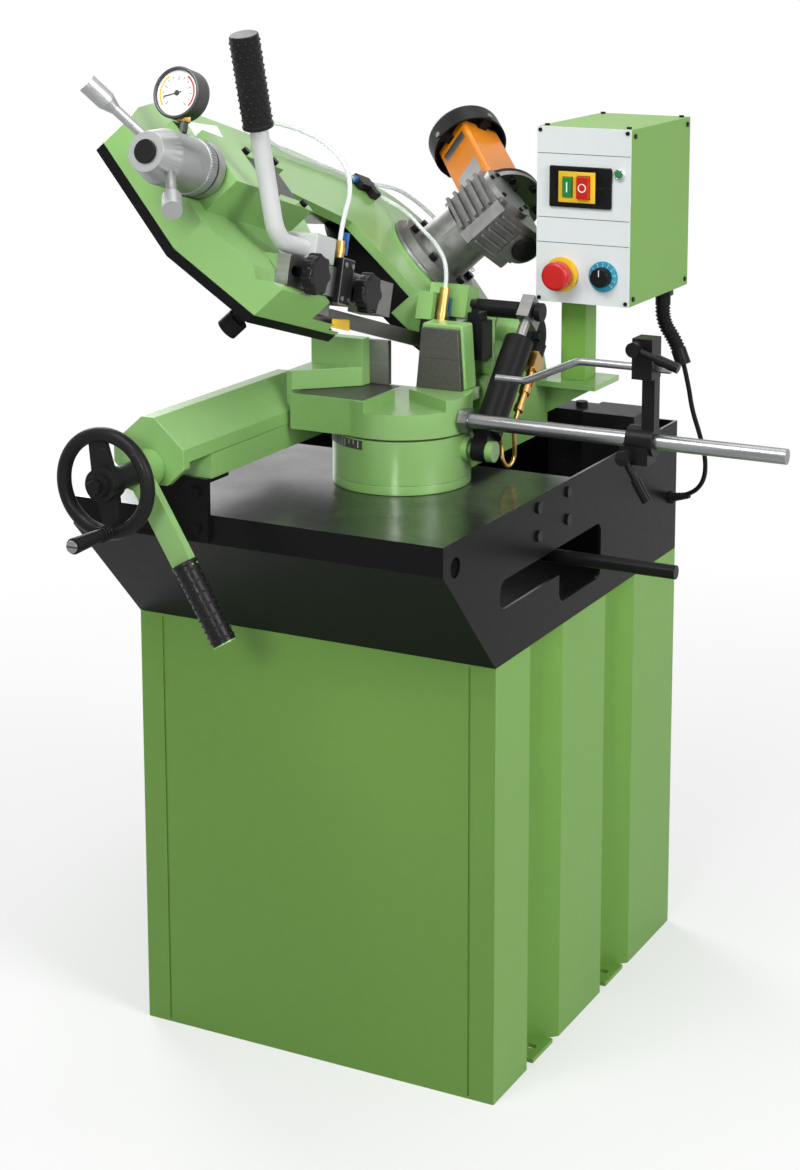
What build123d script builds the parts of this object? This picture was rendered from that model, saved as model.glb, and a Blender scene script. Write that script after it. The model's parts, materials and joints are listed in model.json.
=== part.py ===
from build123d import *
import math
import os

os.makedirs("parts", exist_ok=True)

# Shared fits
running_gap = 0.05
slide_gap = 0.3
open_gap = 0.5

# Cabinet on the floor, centred on X and Y
cabinet_width = 542.0
cabinet_depth = 628.0
cabinet_height = 600.0
cabinet_sheet = 4.0
flute_width = 106.0
flute_depth = 38.0
flute_front_inset = 158.0
flute_rear_inset = 216.5
corner_post_width = 37.0
seam_width = 3.0
seam_depth = 2.0
foot_thickness = 6.0
foot_slot_length = 18.0
foot_slot_width = 11.0
foot_slot_inset = 19.0

# Chip tray over the cabinet
tray_height = 197.0
tray_front_overhang = 149.0
tray_lip_height = 38.0
tray_sheet = 4.0
deck_run = 113.0
deck_skirt = 40.0
lever_slot_height = 79.0
lever_slot_run = 142.0
front_slot_height = 39.0
front_slot_run = 214.0
bolt_hole_radius = 6.0
lift_hole_radius = 13.0
lift_hole_inset = 33.0
cabinet_x = cabinet_width / 2
cabinet_y = cabinet_depth / 2
tray_top = cabinet_height + tray_height
tray_front_y = -cabinet_y - tray_front_overhang
flute_front_y = flute_front_inset - cabinet_y
flute_rear_y = cabinet_y - flute_rear_inset

# Swivel post and table
swivel_x = 70.0
swivel_inset = 126.0
swivel_y = swivel_inset - cabinet_y
pivot_base_radius = 93.0
pivot_base_height = 13.0
pivot_post_radius = 58.0
pot_radius = 93.0
post_height = 75.0
table_thickness = 48.0
table_bottom = tray_top + post_height
table_top = table_bottom + table_thickness
table_radius = 95.0
blade_slot_depth = 15.0
blade_slot_half = 7.0

# Fixed jaws
jaw_reach = 21.5
jaw_face_y = swivel_y + jaw_reach
jaw_plate_thickness = 8.5
jaw_depth = 32.0
jaw_height = 87.0
left_jaw_height = 44.0

# Vise
vise_offset = 177.0
vise_x = swivel_x - vise_offset
beam_half_width = 52.0
beam_ridge_half = 9.5
ridge_rise = 37.0
shoulder_rise = 18.0
beam_overhang = 63.5
end_plate_thickness = 14.0
rail_seat = 5.0
rail_depth = 32.0
rail_overhang = 1.0
rail_run = 48.0
rail_wall = 20.0
screw_radius = 8.0
screw_drop = 9.0
vise_gap = 1.5
vise_lift = 1.0
vise_plate_thickness = 10.0
head_start = 43.0
head_width = 80.0
head_height = 65.0
vise_plate_width = 108.0
vise_plate_drop = 4.0
head_thickness = 19.0
flare_run = 66.0
flare_height = 27.0
vise_travel = 150.0
handwheel_radius = 70.0
handwheel_rim = 9.0
screw_reach = 92.5
crank_offset = 57.0
crank_angle = -79.0
crank_pin_radius = 5.0
crank_radius = 10.0
crank_length = 74.0
lever_hub_radius = 24.0
lever_width = 30.0
lever_thickness = 12.0
lever_grip_radius = 15.0
rail_top = table_bottom + rail_seat
beam_shoulder_z = rail_top + shoulder_rise
beam_ridge_z = beam_shoulder_z + ridge_rise
screw_z = rail_top - screw_drop
head_left = vise_x + head_start
head_right = head_left + head_width
head_top = table_top + head_height
flare_top = table_top + flare_height
rail_front_y = tray_front_y - rail_overhang
rail_rear_y = swivel_y + rail_run
beam_front_y = rail_front_y - beam_overhang
handwheel_y = beam_front_y - screw_reach

# Length stop
stop_rod_inset = 10.0
stop_rod_drop = 30.0
stop_rod_radius = 10.0
stop_rod_rest = 190.0
stop_arm_reach = 350.0
stop_finger_rise = 94.0
stop_finger_radius = 5.0
stop_pin_radius = 5.0
stop_rod_y = swivel_y - stop_rod_inset
stop_rod_z = table_top - stop_rod_drop
stop_arm_x = swivel_x + stop_arm_reach
stop_rod_end = stop_arm_x + stop_rod_rest
stop_finger_z = stop_rod_z + stop_finger_rise

# Swivel lock
lock_right = 50.0
lock_run = 96.0
lock_drop = 107.0
lock_lever_reach = 157.0
lock_lever_radius = 9.5
lock_pin_radius = 9.0
lock_x = swivel_x + lock_right
lock_y = swivel_y + lock_run
lock_z = tray_top - lock_drop
deck_rear_y = swivel_y + deck_run

# Coolant pump
pump_rise = 33.0
pump_gap = 11.0
pump_width = 82.0
pump_depth = 77.0
tank_width = 60.0
tank_depth = 57.0
pump_rear_gap = 69.0
pump_top = tray_top + pump_rise
pump_right = cabinet_x - pump_gap
pump_left = pump_right - pump_width
pump_rear = cabinet_y - pump_rear_gap

# Arm support and hinge
hinge_run = 240.0
hinge_rise = 37.0
hinge_radius = 12.5
column_offset = 38.5
column_width = 41.5
column_boss_radius = 36.0
shelf_drop = 64.0
arm_height = 27.0
hinge_y = swivel_y + hinge_run
hinge_z = table_top + hinge_rise
column_left = swivel_x + column_offset
column_right = column_left + column_width
shelf_top = hinge_z - shelf_drop

# Control box
box_gap = 7.0
box_width = 140.0
box_depth = 223.0
box_lift = 118.0
box_height = 245.0
post_width = 38.0
post_wall = 3.0
box_left = column_right + box_gap
box_right = box_left + box_width
box_front = hinge_y
box_rear = box_front + box_depth
box_bottom = shelf_top + box_lift
box_top = box_bottom + box_height
box_sheet = 2.0
panel_thickness = 2.0
switch_plate_thickness = 4.0
emergency_x = box_left + 40.0
emergency_z = box_bottom + 40.0
emergency_stem = 11.0
speed_x = box_left + 102.0
speed_z = box_bottom + 41.0
speed_stem = 4.0
start_x = box_left + 49.0
stop_x = box_left + 73.0
button_z = box_bottom + 163.0
start_half_width = 7.5
start_half_height = 14.0
stop_half_width = 9.5
stop_half_height = 16.0

# Feed cylinder
cylinder_offset = 36.0
pivot_run = 235.0
pivot_drop = 109.0
pin_run = 88.0
pin_rise = 54.0
cylinder_x = column_right + cylinder_offset
pivot_y = hinge_y - pivot_run
pivot_z = hinge_z - pivot_drop
pin_y = hinge_y - pin_run
pin_z = hinge_z + pin_rise
cylinder_radius = 20.0
cylinder_length = 172.0
piston_rod_radius = 7.0
pivot_pin_radius = 8.0
eye_pin_radius = 7.0
eye_slot_along = 1.7
eye_slot_low = -0.4
eye_slot_high = 7.6

# Bow
bow_rise = 16.2
band_drop = 32.0
blade_x = swivel_x
wheel_tilt = 45.0
blade_width = 20.0
blade_thickness = 1.0
wheel_radius = 135.0
wheel_half = 12.0
band_seat = 0.3
wheel_v = wheel_radius + band_seat + blade_thickness / 2
drive_s = 43.5
idler_s = 561.5
cast_back = -14.0
cast_front = 33.0
web_back = 20.0
wall = 6.0
housing_margin = 17.0
front_margin = 24.5
throat_margin = 3.9
cover_depth = 13.0
cover_sheet = 3.0
drive_shaft_radius = 17.5
idler_shaft_radius = 15.0
seat_height = 9.0
tension_n = 58.0
tension_travel = 12.0
tension_screw_radius = 10.0
slide_half_width = 28.5
slide_front = 78.0
slide_front_run = 38.5
slide_rear_run = 41.5
rail_height = 12.0
housing_radius = wheel_radius + housing_margin
front_s = idler_s + wheel_radius + front_margin
throat_s = idler_s - wheel_radius - throat_margin
rail_front_s = front_s - 31
post_rear_s = front_s - 49
bridge_s = idler_s + slide_front_run + tension_travel
rail_rear_s = idler_s - slide_rear_run - 20

# Gear motor
worm_offset = 50.0
worm_n = 152.0
motor_lean = 26.0
gear_flange_radius = 66.0
gear_front = 38.0
gear_rear = 12.0
gear_low = 108.0
gear_high = 180.0
gear_drop = 52.0
gear_rise = 41.0
gear_corner = 12.0
fin_height = 7.0
fin_pitch = 13.0
motor_flange_radius = 61.0
motor_start = 55.0
motor_end = 206.0
motor_half = 34.0
motor_roll = -16.0
motor_corner = 4.0
rotor_shaft_radius = 10.0
cowl_radius = 56.0
cowl_sheet = 3.0
cowl_lap = 14.0
cowl_length = 38.0

# Guides, handle and coolant
guide_bar_left = 12.0
guide_bar_right = 30.0
guide_bar_low = 20.0
guide_bar_high = 57.0
guide_pin_radius = 5.0
guide_pin_s = idler_s + 10.5
guide_pin_w = 38.5
guide_slot_rear = guide_pin_s - 4
guide_slot_front = guide_pin_s + 23
guide_stud_s = idler_s - 125.5
guide_stud_w = 34.0
guide_head_front = idler_s - 69.5
guide_head_rear = idler_s - 98.5
front_valve_s = idler_s - 83.5
rear_valve_s = 158.0
handle_radius = 11.0
handle_x = 15.0
handle_w = 70.5
lug_front_s = idler_s - 5.5
lug_rear_s = lug_front_s - 46
lug_wall = 8.0
handle_bend_s = idler_s + 58.5
handle_bend = 48.0
handle_top_s = handle_bend_s + 131
handle_top_w = handle_w + 212.5
grip_radius = 17.0
hose_radius = 3.0
conduit_radius = 11.0
conduit_bore = 8.0
conduit_pitch = 5.0
conduit_groove = 1.6
cable_radius = 3.5

# Derived frames: blade_plane looks along +X, wheel_plane along the wheel axes
rise = math.radians(bow_rise)
bow_back = (0, math.cos(rise), -math.sin(rise))
band_origin = (blade_x, hinge_y - band_drop * math.sin(rise), hinge_z - band_drop * math.cos(rise))
tilt = math.radians(wheel_tilt)
wheel_axis = (math.sin(tilt), math.cos(tilt) * math.sin(rise), math.cos(tilt) * math.cos(rise))
blade_plane = Plane(origin=band_origin, x_dir=bow_back, z_dir=(1, 0, 0))
wheel_plane = Plane(origin=band_origin, x_dir=bow_back, z_dir=wheel_axis)
cylinder_run = math.hypot(pin_y - pivot_y, pin_z - pivot_z)
cylinder_dir = (0, (pin_y - pivot_y) / cylinder_run, (pin_z - pivot_z) / cylinder_run)
cylinder_plane = Plane(origin=(cylinder_x, pivot_y, pivot_z), x_dir=(1, 0, 0), z_dir=cylinder_dir)
pot_bottom = tray_top + pivot_base_height + slide_gap
pot_top = table_bottom - 3
arm_bottom = pot_bottom + 0.7
arm_top = arm_bottom + arm_height


def block(low, high, mode=Mode.ADD):
    """Box between two opposite corners."""
    with Locations(tuple((a + b) / 2 for a, b in zip(low, high))):
        Box(*[b - a for a, b in zip(low, high)], mode=mode)


def rod(axis, at, radius, low, high, mode=Mode.ADD):
    """Round bar along one axis from low to high; at holds the other two coordinates."""
    turn = {"x": (0, 90, 0), "y": (90, 0, 0), "z": (0, 0, 0)}[axis]
    middle = list(at)
    middle.insert("xyz".index(axis), (low + high) / 2)
    with Locations(tuple(middle)):
        Cylinder(radius, high - low, rotation=turn, mode=mode)


def corner_radii(points, name):
    """Largest smooth radius for each corner of a cord's route."""
    radii = []
    for before, here, after in zip(points, points[1:], points[2:]):
        run_in = Vector(here) - Vector(before)
        run_out = Vector(after) - Vector(here)
        half_turn = math.radians(run_in.get_angle(run_out)) / 2
        radii.append(0.45 * min(run_in.length, run_out.length) / math.tan(half_turn))
    print(name, "radii", [round(radius, 1) for radius in radii])
    return radii


# Cabinet with fluted sides
with BuildPart() as cabinet:
    with BuildSketch() as outline:
        Rectangle(cabinet_width, cabinet_depth)
        for side in (-1, 1):
            for flute_y in (flute_front_y, flute_rear_y):
                with Locations((side * cabinet_x, flute_y)):
                    Polygon(
                        (0, -flute_width / 2),
                        (0, flute_width / 2),
                        (-side * flute_depth, flute_width / 2 - flute_depth),
                        (-side * flute_depth, flute_depth - flute_width / 2),
                        align=None,
                        mode=Mode.SUBTRACT,
                    )
    extrude(amount=cabinet_height)
    with BuildSketch() as inside:
        add(outline.sketch)
        offset(amount=-cabinet_sheet, kind=Kind.INTERSECTION, mode=Mode.REPLACE)
    extrude(amount=cabinet_height - cabinet_sheet, mode=Mode.SUBTRACT)
    with BuildSketch():
        add(inside.sketch)
    extrude(amount=cabinet_sheet)
    for side in (-1, 1):
        seam_x = side * (cabinet_x - corner_post_width)
        block(
            (seam_x - seam_width / 2, -cabinet_y - 1, 4),
            (seam_x + seam_width / 2, -cabinet_y + seam_depth, cabinet_height - 4),
            Mode.SUBTRACT,
        )
        for flute_y in (flute_front_y, flute_rear_y):
            foot_x = side * (cabinet_x - (flute_depth + cabinet_sheet) / 2)
            with Locations((foot_x, flute_y, foot_thickness / 2)):
                Box(flute_depth + cabinet_sheet, flute_width - 2 * flute_depth + 36, foot_thickness)
            with BuildSketch():
                with Locations((side * (cabinet_x - foot_slot_inset), flute_y)):
                    SlotOverall(foot_slot_length, foot_slot_width)
            extrude(amount=foot_thickness, mode=Mode.SUBTRACT)
cabinet.part.label = "cabinet"
export_step(cabinet.part, "parts/cabinet.step")

# Chip tray with deck, sloped lip and open sump
tray_profile = (
    (tray_front_y, tray_top),
    (cabinet_y, tray_top),
    (cabinet_y, cabinet_height),
    (-cabinet_y, cabinet_height),
    (tray_front_y, tray_top - tray_lip_height),
)
with BuildPart() as chip_tray:
    with BuildSketch(Plane.YZ.offset(-cabinet_x)) as tray_side:
        Polygon(*tray_profile, align=None)
    extrude(amount=cabinet_width)
    with BuildSketch(Plane.YZ.offset(tray_sheet - cabinet_x)):
        Polygon(*tray_profile, align=None)
        offset(amount=-tray_sheet, kind=Kind.INTERSECTION, mode=Mode.REPLACE)
    extrude(amount=cabinet_width - 2 * tray_sheet, mode=Mode.SUBTRACT)
    block(
        (tray_sheet - cabinet_x, deck_rear_y, tray_top - tray_sheet - 1),
        (cabinet_x - tray_sheet, cabinet_y - tray_sheet, tray_top + 1),
        Mode.SUBTRACT,
    )
    block(
        (tray_sheet - cabinet_x, deck_rear_y - tray_sheet, tray_top - deck_skirt),
        (cabinet_x - tray_sheet, deck_rear_y, tray_top),
    )
    wall_inside = cabinet_x - 2 * tray_sheet
    wall_outside = cabinet_x + tray_sheet
    lift_hole = (tray_front_y + lift_hole_inset, tray_top - lift_hole_inset)
    rod("x", lift_hole, lift_hole_radius, wall_inside, wall_outside, Mode.SUBTRACT)
    for bolt_y in (lock_y - 95, lock_y):
        for bolt_z in (tray_top - 55, tray_top - 17):
            rod("x", (bolt_y, bolt_z), bolt_hole_radius, wall_inside, wall_outside, Mode.SUBTRACT)
    with BuildSketch(Plane.YZ.offset(cabinet_x - 2 * tray_sheet)) as lever_slot:
        with Locations((lock_y + 46, lock_z + 21 - lever_slot_height / 2)):
            RectangleRounded(lever_slot_run, lever_slot_height, 15)
        with Locations((lock_y - 103, lock_z + 21 - front_slot_height / 2)):
            RectangleRounded(front_slot_run, front_slot_height, 15)
    extrude(amount=4 * tray_sheet, mode=Mode.SUBTRACT)
    rod("z", (lock_x, lock_y), 24, lock_z + 14, tray_top - tray_sheet)
    rod("z", (lock_x, lock_y), lock_pin_radius, lock_z - 16, lock_z + 14)
    rod("z", (lock_x, lock_y), 16, lock_z - 22, lock_z - 16)
chip_tray.part.label = "chip_tray"
export_step(chip_tray.part, "parts/chip_tray.step")

# Round base and fixed post that carry the table
with BuildPart() as pivot_base:
    rod("z", (swivel_x, swivel_y), pivot_base_radius, tray_top, tray_top + pivot_base_height)
    rod("z", (swivel_x, swivel_y), pivot_post_radius, tray_top + pivot_base_height, table_bottom)
pivot_base.part.label = "pivot_base"
export_step(pivot_base.part, "parts/pivot_base.step")

# Table with the sector pockets the blade sweeps
table_rear_y = swivel_y + 86
seat_front_y = jaw_face_y + 2.5
seat_rear_y = jaw_face_y + 42.5
with BuildPart() as table:
    with BuildSketch(Plane.XY.offset(table_bottom)):
        with Locations((swivel_x, swivel_y)):
            Circle(table_radius)
        Polygon(
            (swivel_x - 120, swivel_y - 90),
            (swivel_x - 8, swivel_y - 90),
            (swivel_x - 8, swivel_y),
            (swivel_x - 120, table_rear_y),
            align=None,
        )
    extrude(amount=table_top - table_bottom)
    block((swivel_x - 156, jaw_face_y, rail_top), (swivel_x - 30, table_rear_y, table_top))
    block(
        (swivel_x - 160, table_rear_y, table_bottom - 1),
        (swivel_x + 90, table_rear_y + 12, table_top + 1),
        Mode.SUBTRACT,
    )
    with BuildSketch(Plane.XY.offset(table_top)):
        for turn in (-90, 90):
            with Locations(Location((swivel_x, swivel_y, 0), (0, 0, turn))):
                Polygon(
                    (0, -blade_slot_half),
                    (130, -blade_slot_half),
                    (130, 0),
                    (65 - blade_slot_half, 113 + blade_slot_half / 2),
                    (-blade_slot_half, blade_slot_half),
                    align=None,
                )
    extrude(amount=-blade_slot_depth, mode=Mode.SUBTRACT)
    block(
        (swivel_x + 2, seat_front_y, table_top - blade_slot_depth - 1),
        (swivel_x + 84, seat_rear_y, table_top),
    )
    block(
        (swivel_x - 1, seat_front_y, table_top - blade_slot_depth),
        (swivel_x + 7, seat_rear_y, table_top),
        Mode.SUBTRACT,
    )
table.part.label = "table"
export_step(table.part, "parts/table.step")

# Fixed jaw right of the blade and its steel plate
jaw_top = table_top + jaw_height
jaw_profile = (
    (swivel_x + 7, table_top),
    (swivel_x + 81, table_top),
    (swivel_x + 75, jaw_top),
    (swivel_x + 15, jaw_top),
)
with BuildPart() as fixed_jaw:
    with BuildSketch(Plane.XZ.offset(-jaw_face_y - jaw_plate_thickness)):
        Polygon(*jaw_profile, align=None)
    extrude(amount=-jaw_depth)
fixed_jaw.part.label = "fixed_jaw"
export_step(fixed_jaw.part, "parts/fixed_jaw.step")
with BuildPart() as fixed_jaw_plate:
    with BuildSketch(Plane.XZ.offset(-jaw_face_y)):
        Polygon(
            (swivel_x + 10, table_top),
            (swivel_x + 78, table_top),
            (swivel_x + 72, jaw_top - 5),
            (swivel_x + 18, jaw_top - 5),
            align=None,
        )
    extrude(amount=-jaw_plate_thickness)
fixed_jaw_plate.part.label = "fixed_jaw_plate"
export_step(fixed_jaw_plate.part, "parts/fixed_jaw_plate.step")

# Fixed jaw left of the blade, bevelled for mitre cuts
with BuildPart() as left_jaw:
    with BuildSketch(Plane.XY.offset(table_top)):
        Polygon(
            (swivel_x - 150, jaw_face_y),
            (swivel_x - 94, jaw_face_y),
            (swivel_x - 96, jaw_face_y + 10.5),
            (swivel_x - 132, jaw_face_y + 38.5),
            (swivel_x - 150, jaw_face_y + 38.5),
            align=None,
        )
    extrude(amount=left_jaw_height)
left_jaw.part.label = "left_jaw"
export_step(left_jaw.part, "parts/left_jaw.step")

# Rail that guides the vise, with the nut wall for the screw
rail_left = vise_x - beam_half_width
rail_right = vise_x + beam_half_width
rail_bottom = rail_top - rail_depth
with BuildPart() as vise_rail:
    block((rail_left, rail_front_y, rail_bottom), (rail_right, rail_rear_y, rail_top))
    block(
        (rail_left + rail_wall, rail_front_y + 24, rail_bottom + 6),
        (rail_right - rail_wall, rail_rear_y - 20, rail_top + 1),
        Mode.SUBTRACT,
    )
    rod("y", (vise_x, screw_z), screw_radius + slide_gap, rail_front_y - 1, rail_front_y + 25, Mode.SUBTRACT)
vise_rail.part.label = "vise_rail"
export_step(vise_rail.part, "parts/vise_rail.step")

# Bracket that ties the rail to the tray lip
bracket_y = tray_front_y
with BuildPart() as vise_bracket:
    block(
        (rail_left, bracket_y - 8, tray_top - tray_lip_height + 4),
        (rail_right - 3, bracket_y, rail_bottom),
    )
    block((rail_left, bracket_y - 8, rail_bottom - 6), (rail_right - 3, bracket_y + 44, rail_bottom))
    for bolt_x in (rail_left + 16, rail_right - 20):
        rod("y", (bolt_x, tray_top - 18), 7, bracket_y - 13, bracket_y - 8)
        rod("y", (bolt_x, rail_bottom - 18), 7, bracket_y - 13, bracket_y - 8)
vise_bracket.part.label = "vise_bracket"
export_step(vise_bracket.part, "parts/vise_bracket.step")

# Sliding vise beam with its jaw head
head_rear_y = jaw_face_y - vise_gap - vise_plate_thickness
head_front_y = head_rear_y - head_thickness
beam_bottom = rail_top + slide_gap
with BuildPart() as vise_beam:
    with BuildSketch(Plane.XZ.offset(-beam_front_y)):
        with Locations((vise_x, 0)):
            Polygon(
                (-beam_half_width, beam_bottom),
                (beam_half_width, beam_bottom),
                (beam_half_width, beam_shoulder_z),
                (beam_ridge_half, beam_ridge_z),
                (-beam_ridge_half, beam_ridge_z),
                (-beam_half_width, beam_shoulder_z),
                align=None,
            )
    extrude(amount=beam_front_y - head_front_y)
    block(
        (rail_left + rail_wall, beam_front_y + end_plate_thickness, beam_bottom - 1),
        (rail_right - rail_wall, head_front_y - 40, beam_shoulder_z + 8),
        Mode.SUBTRACT,
    )
    with BuildSketch(Plane.XZ.offset(-beam_front_y)):
        with Locations((vise_x, 0)):
            Polygon(
                (-beam_half_width, beam_shoulder_z),
                (-beam_half_width, screw_z + 2),
                (-27, screw_z - 21),
                (27, screw_z - 21),
                (beam_half_width, screw_z + 2),
                (beam_half_width, beam_shoulder_z),
                align=None,
            )
    extrude(amount=-end_plate_thickness)
    block((head_left, head_front_y, table_top + vise_lift), (head_right, head_rear_y, head_top))
    with BuildSketch(Plane.XY.offset(beam_shoulder_z - 8)):
        Polygon(
            (head_left, head_front_y - flare_run),
            (rail_right, head_front_y - flare_run),
            (head_right - 2, head_front_y),
            (head_right - 2, head_rear_y),
            (head_left, head_rear_y),
            align=None,
        )
    extrude(amount=flare_top - beam_shoulder_z + 8)
    block(
        (rail_right, head_front_y - flare_run - 1, beam_bottom - 1),
        (head_right + 1, head_rear_y + 1, table_top + vise_lift),
        Mode.SUBTRACT,
    )
    rod("y", (vise_x, screw_z), screw_radius + slide_gap, beam_front_y - 1, beam_front_y + 16, Mode.SUBTRACT)
vise_beam.part.label = "vise_beam"
export_step(vise_beam.part, "parts/vise_beam.step")
with BuildPart() as vise_jaw_plate:
    block(
        (head_left, head_rear_y, table_top + vise_lift),
        (head_left + vise_plate_width, head_rear_y + vise_plate_thickness, head_top - vise_plate_drop),
    )
vise_jaw_plate.part.label = "vise_jaw_plate"
export_step(vise_jaw_plate.part, "parts/vise_jaw_plate.step")

# Handwheel with the vise screw, its axis along Y
handwheel_plane = Plane(origin=(vise_x, handwheel_y, screw_z), x_dir=(1, 0, 0), z_dir=(0, -1, 0))
rim_centre = handwheel_radius - handwheel_rim
crank_x = crank_offset * math.cos(math.radians(crank_angle))
crank_z = crank_offset * math.sin(math.radians(crank_angle))
lever_low_y = beam_front_y - slide_gap - 30
with BuildPart(handwheel_plane) as handwheel:
    Torus(rim_centre, handwheel_rim)
    Cylinder(21, 26)
    with BuildSketch(handwheel_plane.offset(-5)):
        for turn in (crank_angle, crank_angle + 180):
            with Locations(Location((0, 0, 0), (0, 0, turn))):
                Polygon((0, -17), (rim_centre, -11), (rim_centre, 11), (0, 17), align=None)
    extrude(amount=8)
    rod("z", (0, 0), 14, 13, 20)
    rod("z", (0, 0), 15, handwheel_y - lever_low_y + slide_gap, -13)
    rod("z", (0, 0), screw_radius, -300, -13)
    rod("z", (crank_x, crank_z), crank_pin_radius, 0, crank_length + 10)
    rod("z", (crank_x, crank_z), crank_pin_radius + 2.5, crank_length + 10, crank_length + 13)
handwheel.part.label = "handwheel"
export_step(handwheel.part, "parts/handwheel.step")

# Turning sleeve on the crank pin
with BuildPart(handwheel_plane) as crank_handle:
    with Locations((crank_x, crank_z, 10 + crank_length / 2)):
        Cone(crank_radius - 3, crank_radius, crank_length - 2 * slide_gap)
    rod("z", (crank_x, crank_z), crank_pin_radius + running_gap, 9, crank_length + 11, Mode.SUBTRACT)
crank_handle.part.label = "crank_handle"
export_step(crank_handle.part, "parts/crank_handle.step")

# Clamp lever around the vise screw
lever_plane = Plane(origin=(vise_x, lever_low_y, screw_z), x_dir=(0.52, 0, -0.854), z_dir=(0, 1, 0))
with BuildPart(lever_plane) as clamp_lever:
    rod("z", (0, 0), lever_hub_radius, 0, 30)
    block((0, -lever_width / 2, 0), (134, lever_width / 2, lever_thickness))
    rod("x", (0, lever_thickness / 2), lever_grip_radius, 126, 238)
    rod("z", (0, 0), screw_radius + slide_gap, -1, 31, Mode.SUBTRACT)
clamp_lever.part.label = "clamp_lever"
export_step(clamp_lever.part, "parts/clamp_lever.step")

# Length stop: rod, arm, finger and clamp levers
nut_right = table_radius + swivel_x + 6
with BuildPart() as stop_rod:
    rod("x", (stop_rod_y, stop_rod_z), stop_rod_radius, nut_right - 12, stop_rod_end)
    with BuildSketch(Plane.YZ.offset(nut_right - 6)):
        with Locations((stop_rod_y, stop_rod_z)):
            RegularPolygon(17, 6)
    extrude(amount=12)
    rod("z", (swivel_x, swivel_y), table_radius, table_bottom - 1, table_top + 1, Mode.SUBTRACT)
stop_rod.part.label = "stop_rod"
export_step(stop_rod.part, "parts/stop_rod.step")
clamp_front = stop_rod_y - 20
upper_pin = (stop_arm_x - 2, stop_finger_z + 28)
lower_pin = (stop_arm_x - 14, stop_rod_z - 18)
with BuildPart() as stop_arm:
    rod("x", (stop_rod_y, stop_rod_z), 19, stop_arm_x - 18, stop_arm_x + 18)
    block((stop_arm_x + 1, stop_rod_y - 9, stop_rod_z), (stop_arm_x + 18, stop_rod_y + 9, stop_finger_z + 40))
    block(
        (stop_arm_x - 9, clamp_front, stop_finger_z - 12),
        (stop_arm_x + 18, stop_rod_y + 11, stop_finger_z + 40),
    )
    block((stop_arm_x - 24, clamp_front, stop_rod_z - 28), (stop_arm_x + 14, stop_rod_y + 9, stop_rod_z - 5))
    for bore_z, bore in ((stop_rod_z, stop_rod_radius), (stop_finger_z, stop_finger_radius)):
        rod("x", (stop_rod_y, bore_z), bore + running_gap, stop_arm_x - 60, stop_arm_x + 60, Mode.SUBTRACT)
    for pin_at in (upper_pin, lower_pin):
        rod("y", pin_at, stop_pin_radius + running_gap, clamp_front - 1, clamp_front + 26, Mode.SUBTRACT)
stop_arm.part.label = "stop_arm"
export_step(stop_arm.part, "parts/stop_arm.step")
with BuildPart() as stop_finger:
    with BuildLine() as finger_path:
        FilletPolyline(
            (stop_arm_x + 36, stop_rod_y, stop_finger_z),
            (stop_arm_x - 90, stop_rod_y, stop_finger_z),
            (stop_arm_x - 164, stop_rod_y, stop_finger_z - 33),
            (stop_arm_x - 206, stop_rod_y, stop_finger_z - 33),
            radius=30,
        )
    with BuildSketch(finger_path.line ^ 0):
        Circle(stop_finger_radius)
    sweep()
stop_finger.part.label = "stop_finger"
export_step(stop_finger.part, "parts/stop_finger.step")
for name, pin_at, lever_drop in (
    ("upper_clamp_lever", upper_pin, 18),
    ("lower_clamp_lever", lower_pin, 58.7),
):
    lever_reach = Vector(1, 0, 0).rotate(Axis.Y, lever_drop)
    clamp_plane = Plane(origin=(pin_at[0], clamp_front, pin_at[1]), x_dir=lever_reach, z_dir=(0, 1, 0))
    with BuildPart(clamp_plane) as stop_clamp:
        rod("z", (0, 0), stop_pin_radius, -2, 24)
        rod("z", (0, 0), 9.5, -16, -slide_gap)
        rod("x", (0, -9), 4.5, 0, 52)
        rod("x", (0, -9), 6.5, 30, 62)
    stop_clamp.part.label = name
    export_step(stop_clamp.part, "parts/" + name + ".step")

# Swivel lock lever under the deck
with BuildPart() as lock_lever:
    rod("z", (lock_x, lock_y), 20, lock_z - 15, lock_z + 13)
    rod("x", (lock_y, lock_z), lock_lever_radius, lock_x, cabinet_x + lock_lever_reach)
    rod("z", (lock_x, lock_y), lock_pin_radius + running_gap, lock_z - 17, lock_z + 15, Mode.SUBTRACT)
lock_lever.part.label = "lock_lever"
export_step(lock_lever.part, "parts/lock_lever.step")

# Coolant pump and tank standing in the sump
with BuildPart() as coolant_pump:
    block((pump_left, pump_rear - pump_depth, cabinet_height + tray_sheet), (pump_right, pump_rear, pump_top))
    block(
        (pump_left - tank_width, pump_rear - 5 - tank_depth, cabinet_height + tray_sheet),
        (pump_left, pump_rear - 5, pump_top - 2),
    )
    rod("z", (pump_left - 18, pump_rear - 35), 9, pump_top - 2, pump_top + 6)
coolant_pump.part.label = "coolant_pump"
export_step(coolant_pump.part, "parts/coolant_pump.step")

# Supply cable from the box down to the tray side
cable_points = (
    (box_right + 19.8, box_rear - 60, box_bottom - 107.4),
    (box_right + 26, box_rear - 56, box_bottom - 137),
    (cabinet_x + 54, cabinet_y - 84, tray_top + 39),
    (cabinet_x + 62, cabinet_y - 70, tray_top - 1),
    (cabinet_x + 67, cabinet_y - 56, tray_top - 41),
    (cabinet_x + 59, cabinet_y - 40, tray_top - 79),
    (cabinet_x + 33, cabinet_y - 28, tray_top - 105),
    (cabinet_x + 1.4, cabinet_y - 24, tray_top - 113),
)
with BuildPart() as supply_cable:
    with BuildLine() as cable_path:
        FilletPolyline(*cable_points, radius=corner_radii(cable_points, "supply_cable"))
    with BuildSketch(cable_path.line ^ 0):
        Circle(cable_radius)
    sweep()
supply_cable.part.label = "supply_cable"
export_step(supply_cable.part, "parts/supply_cable.step")

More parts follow.
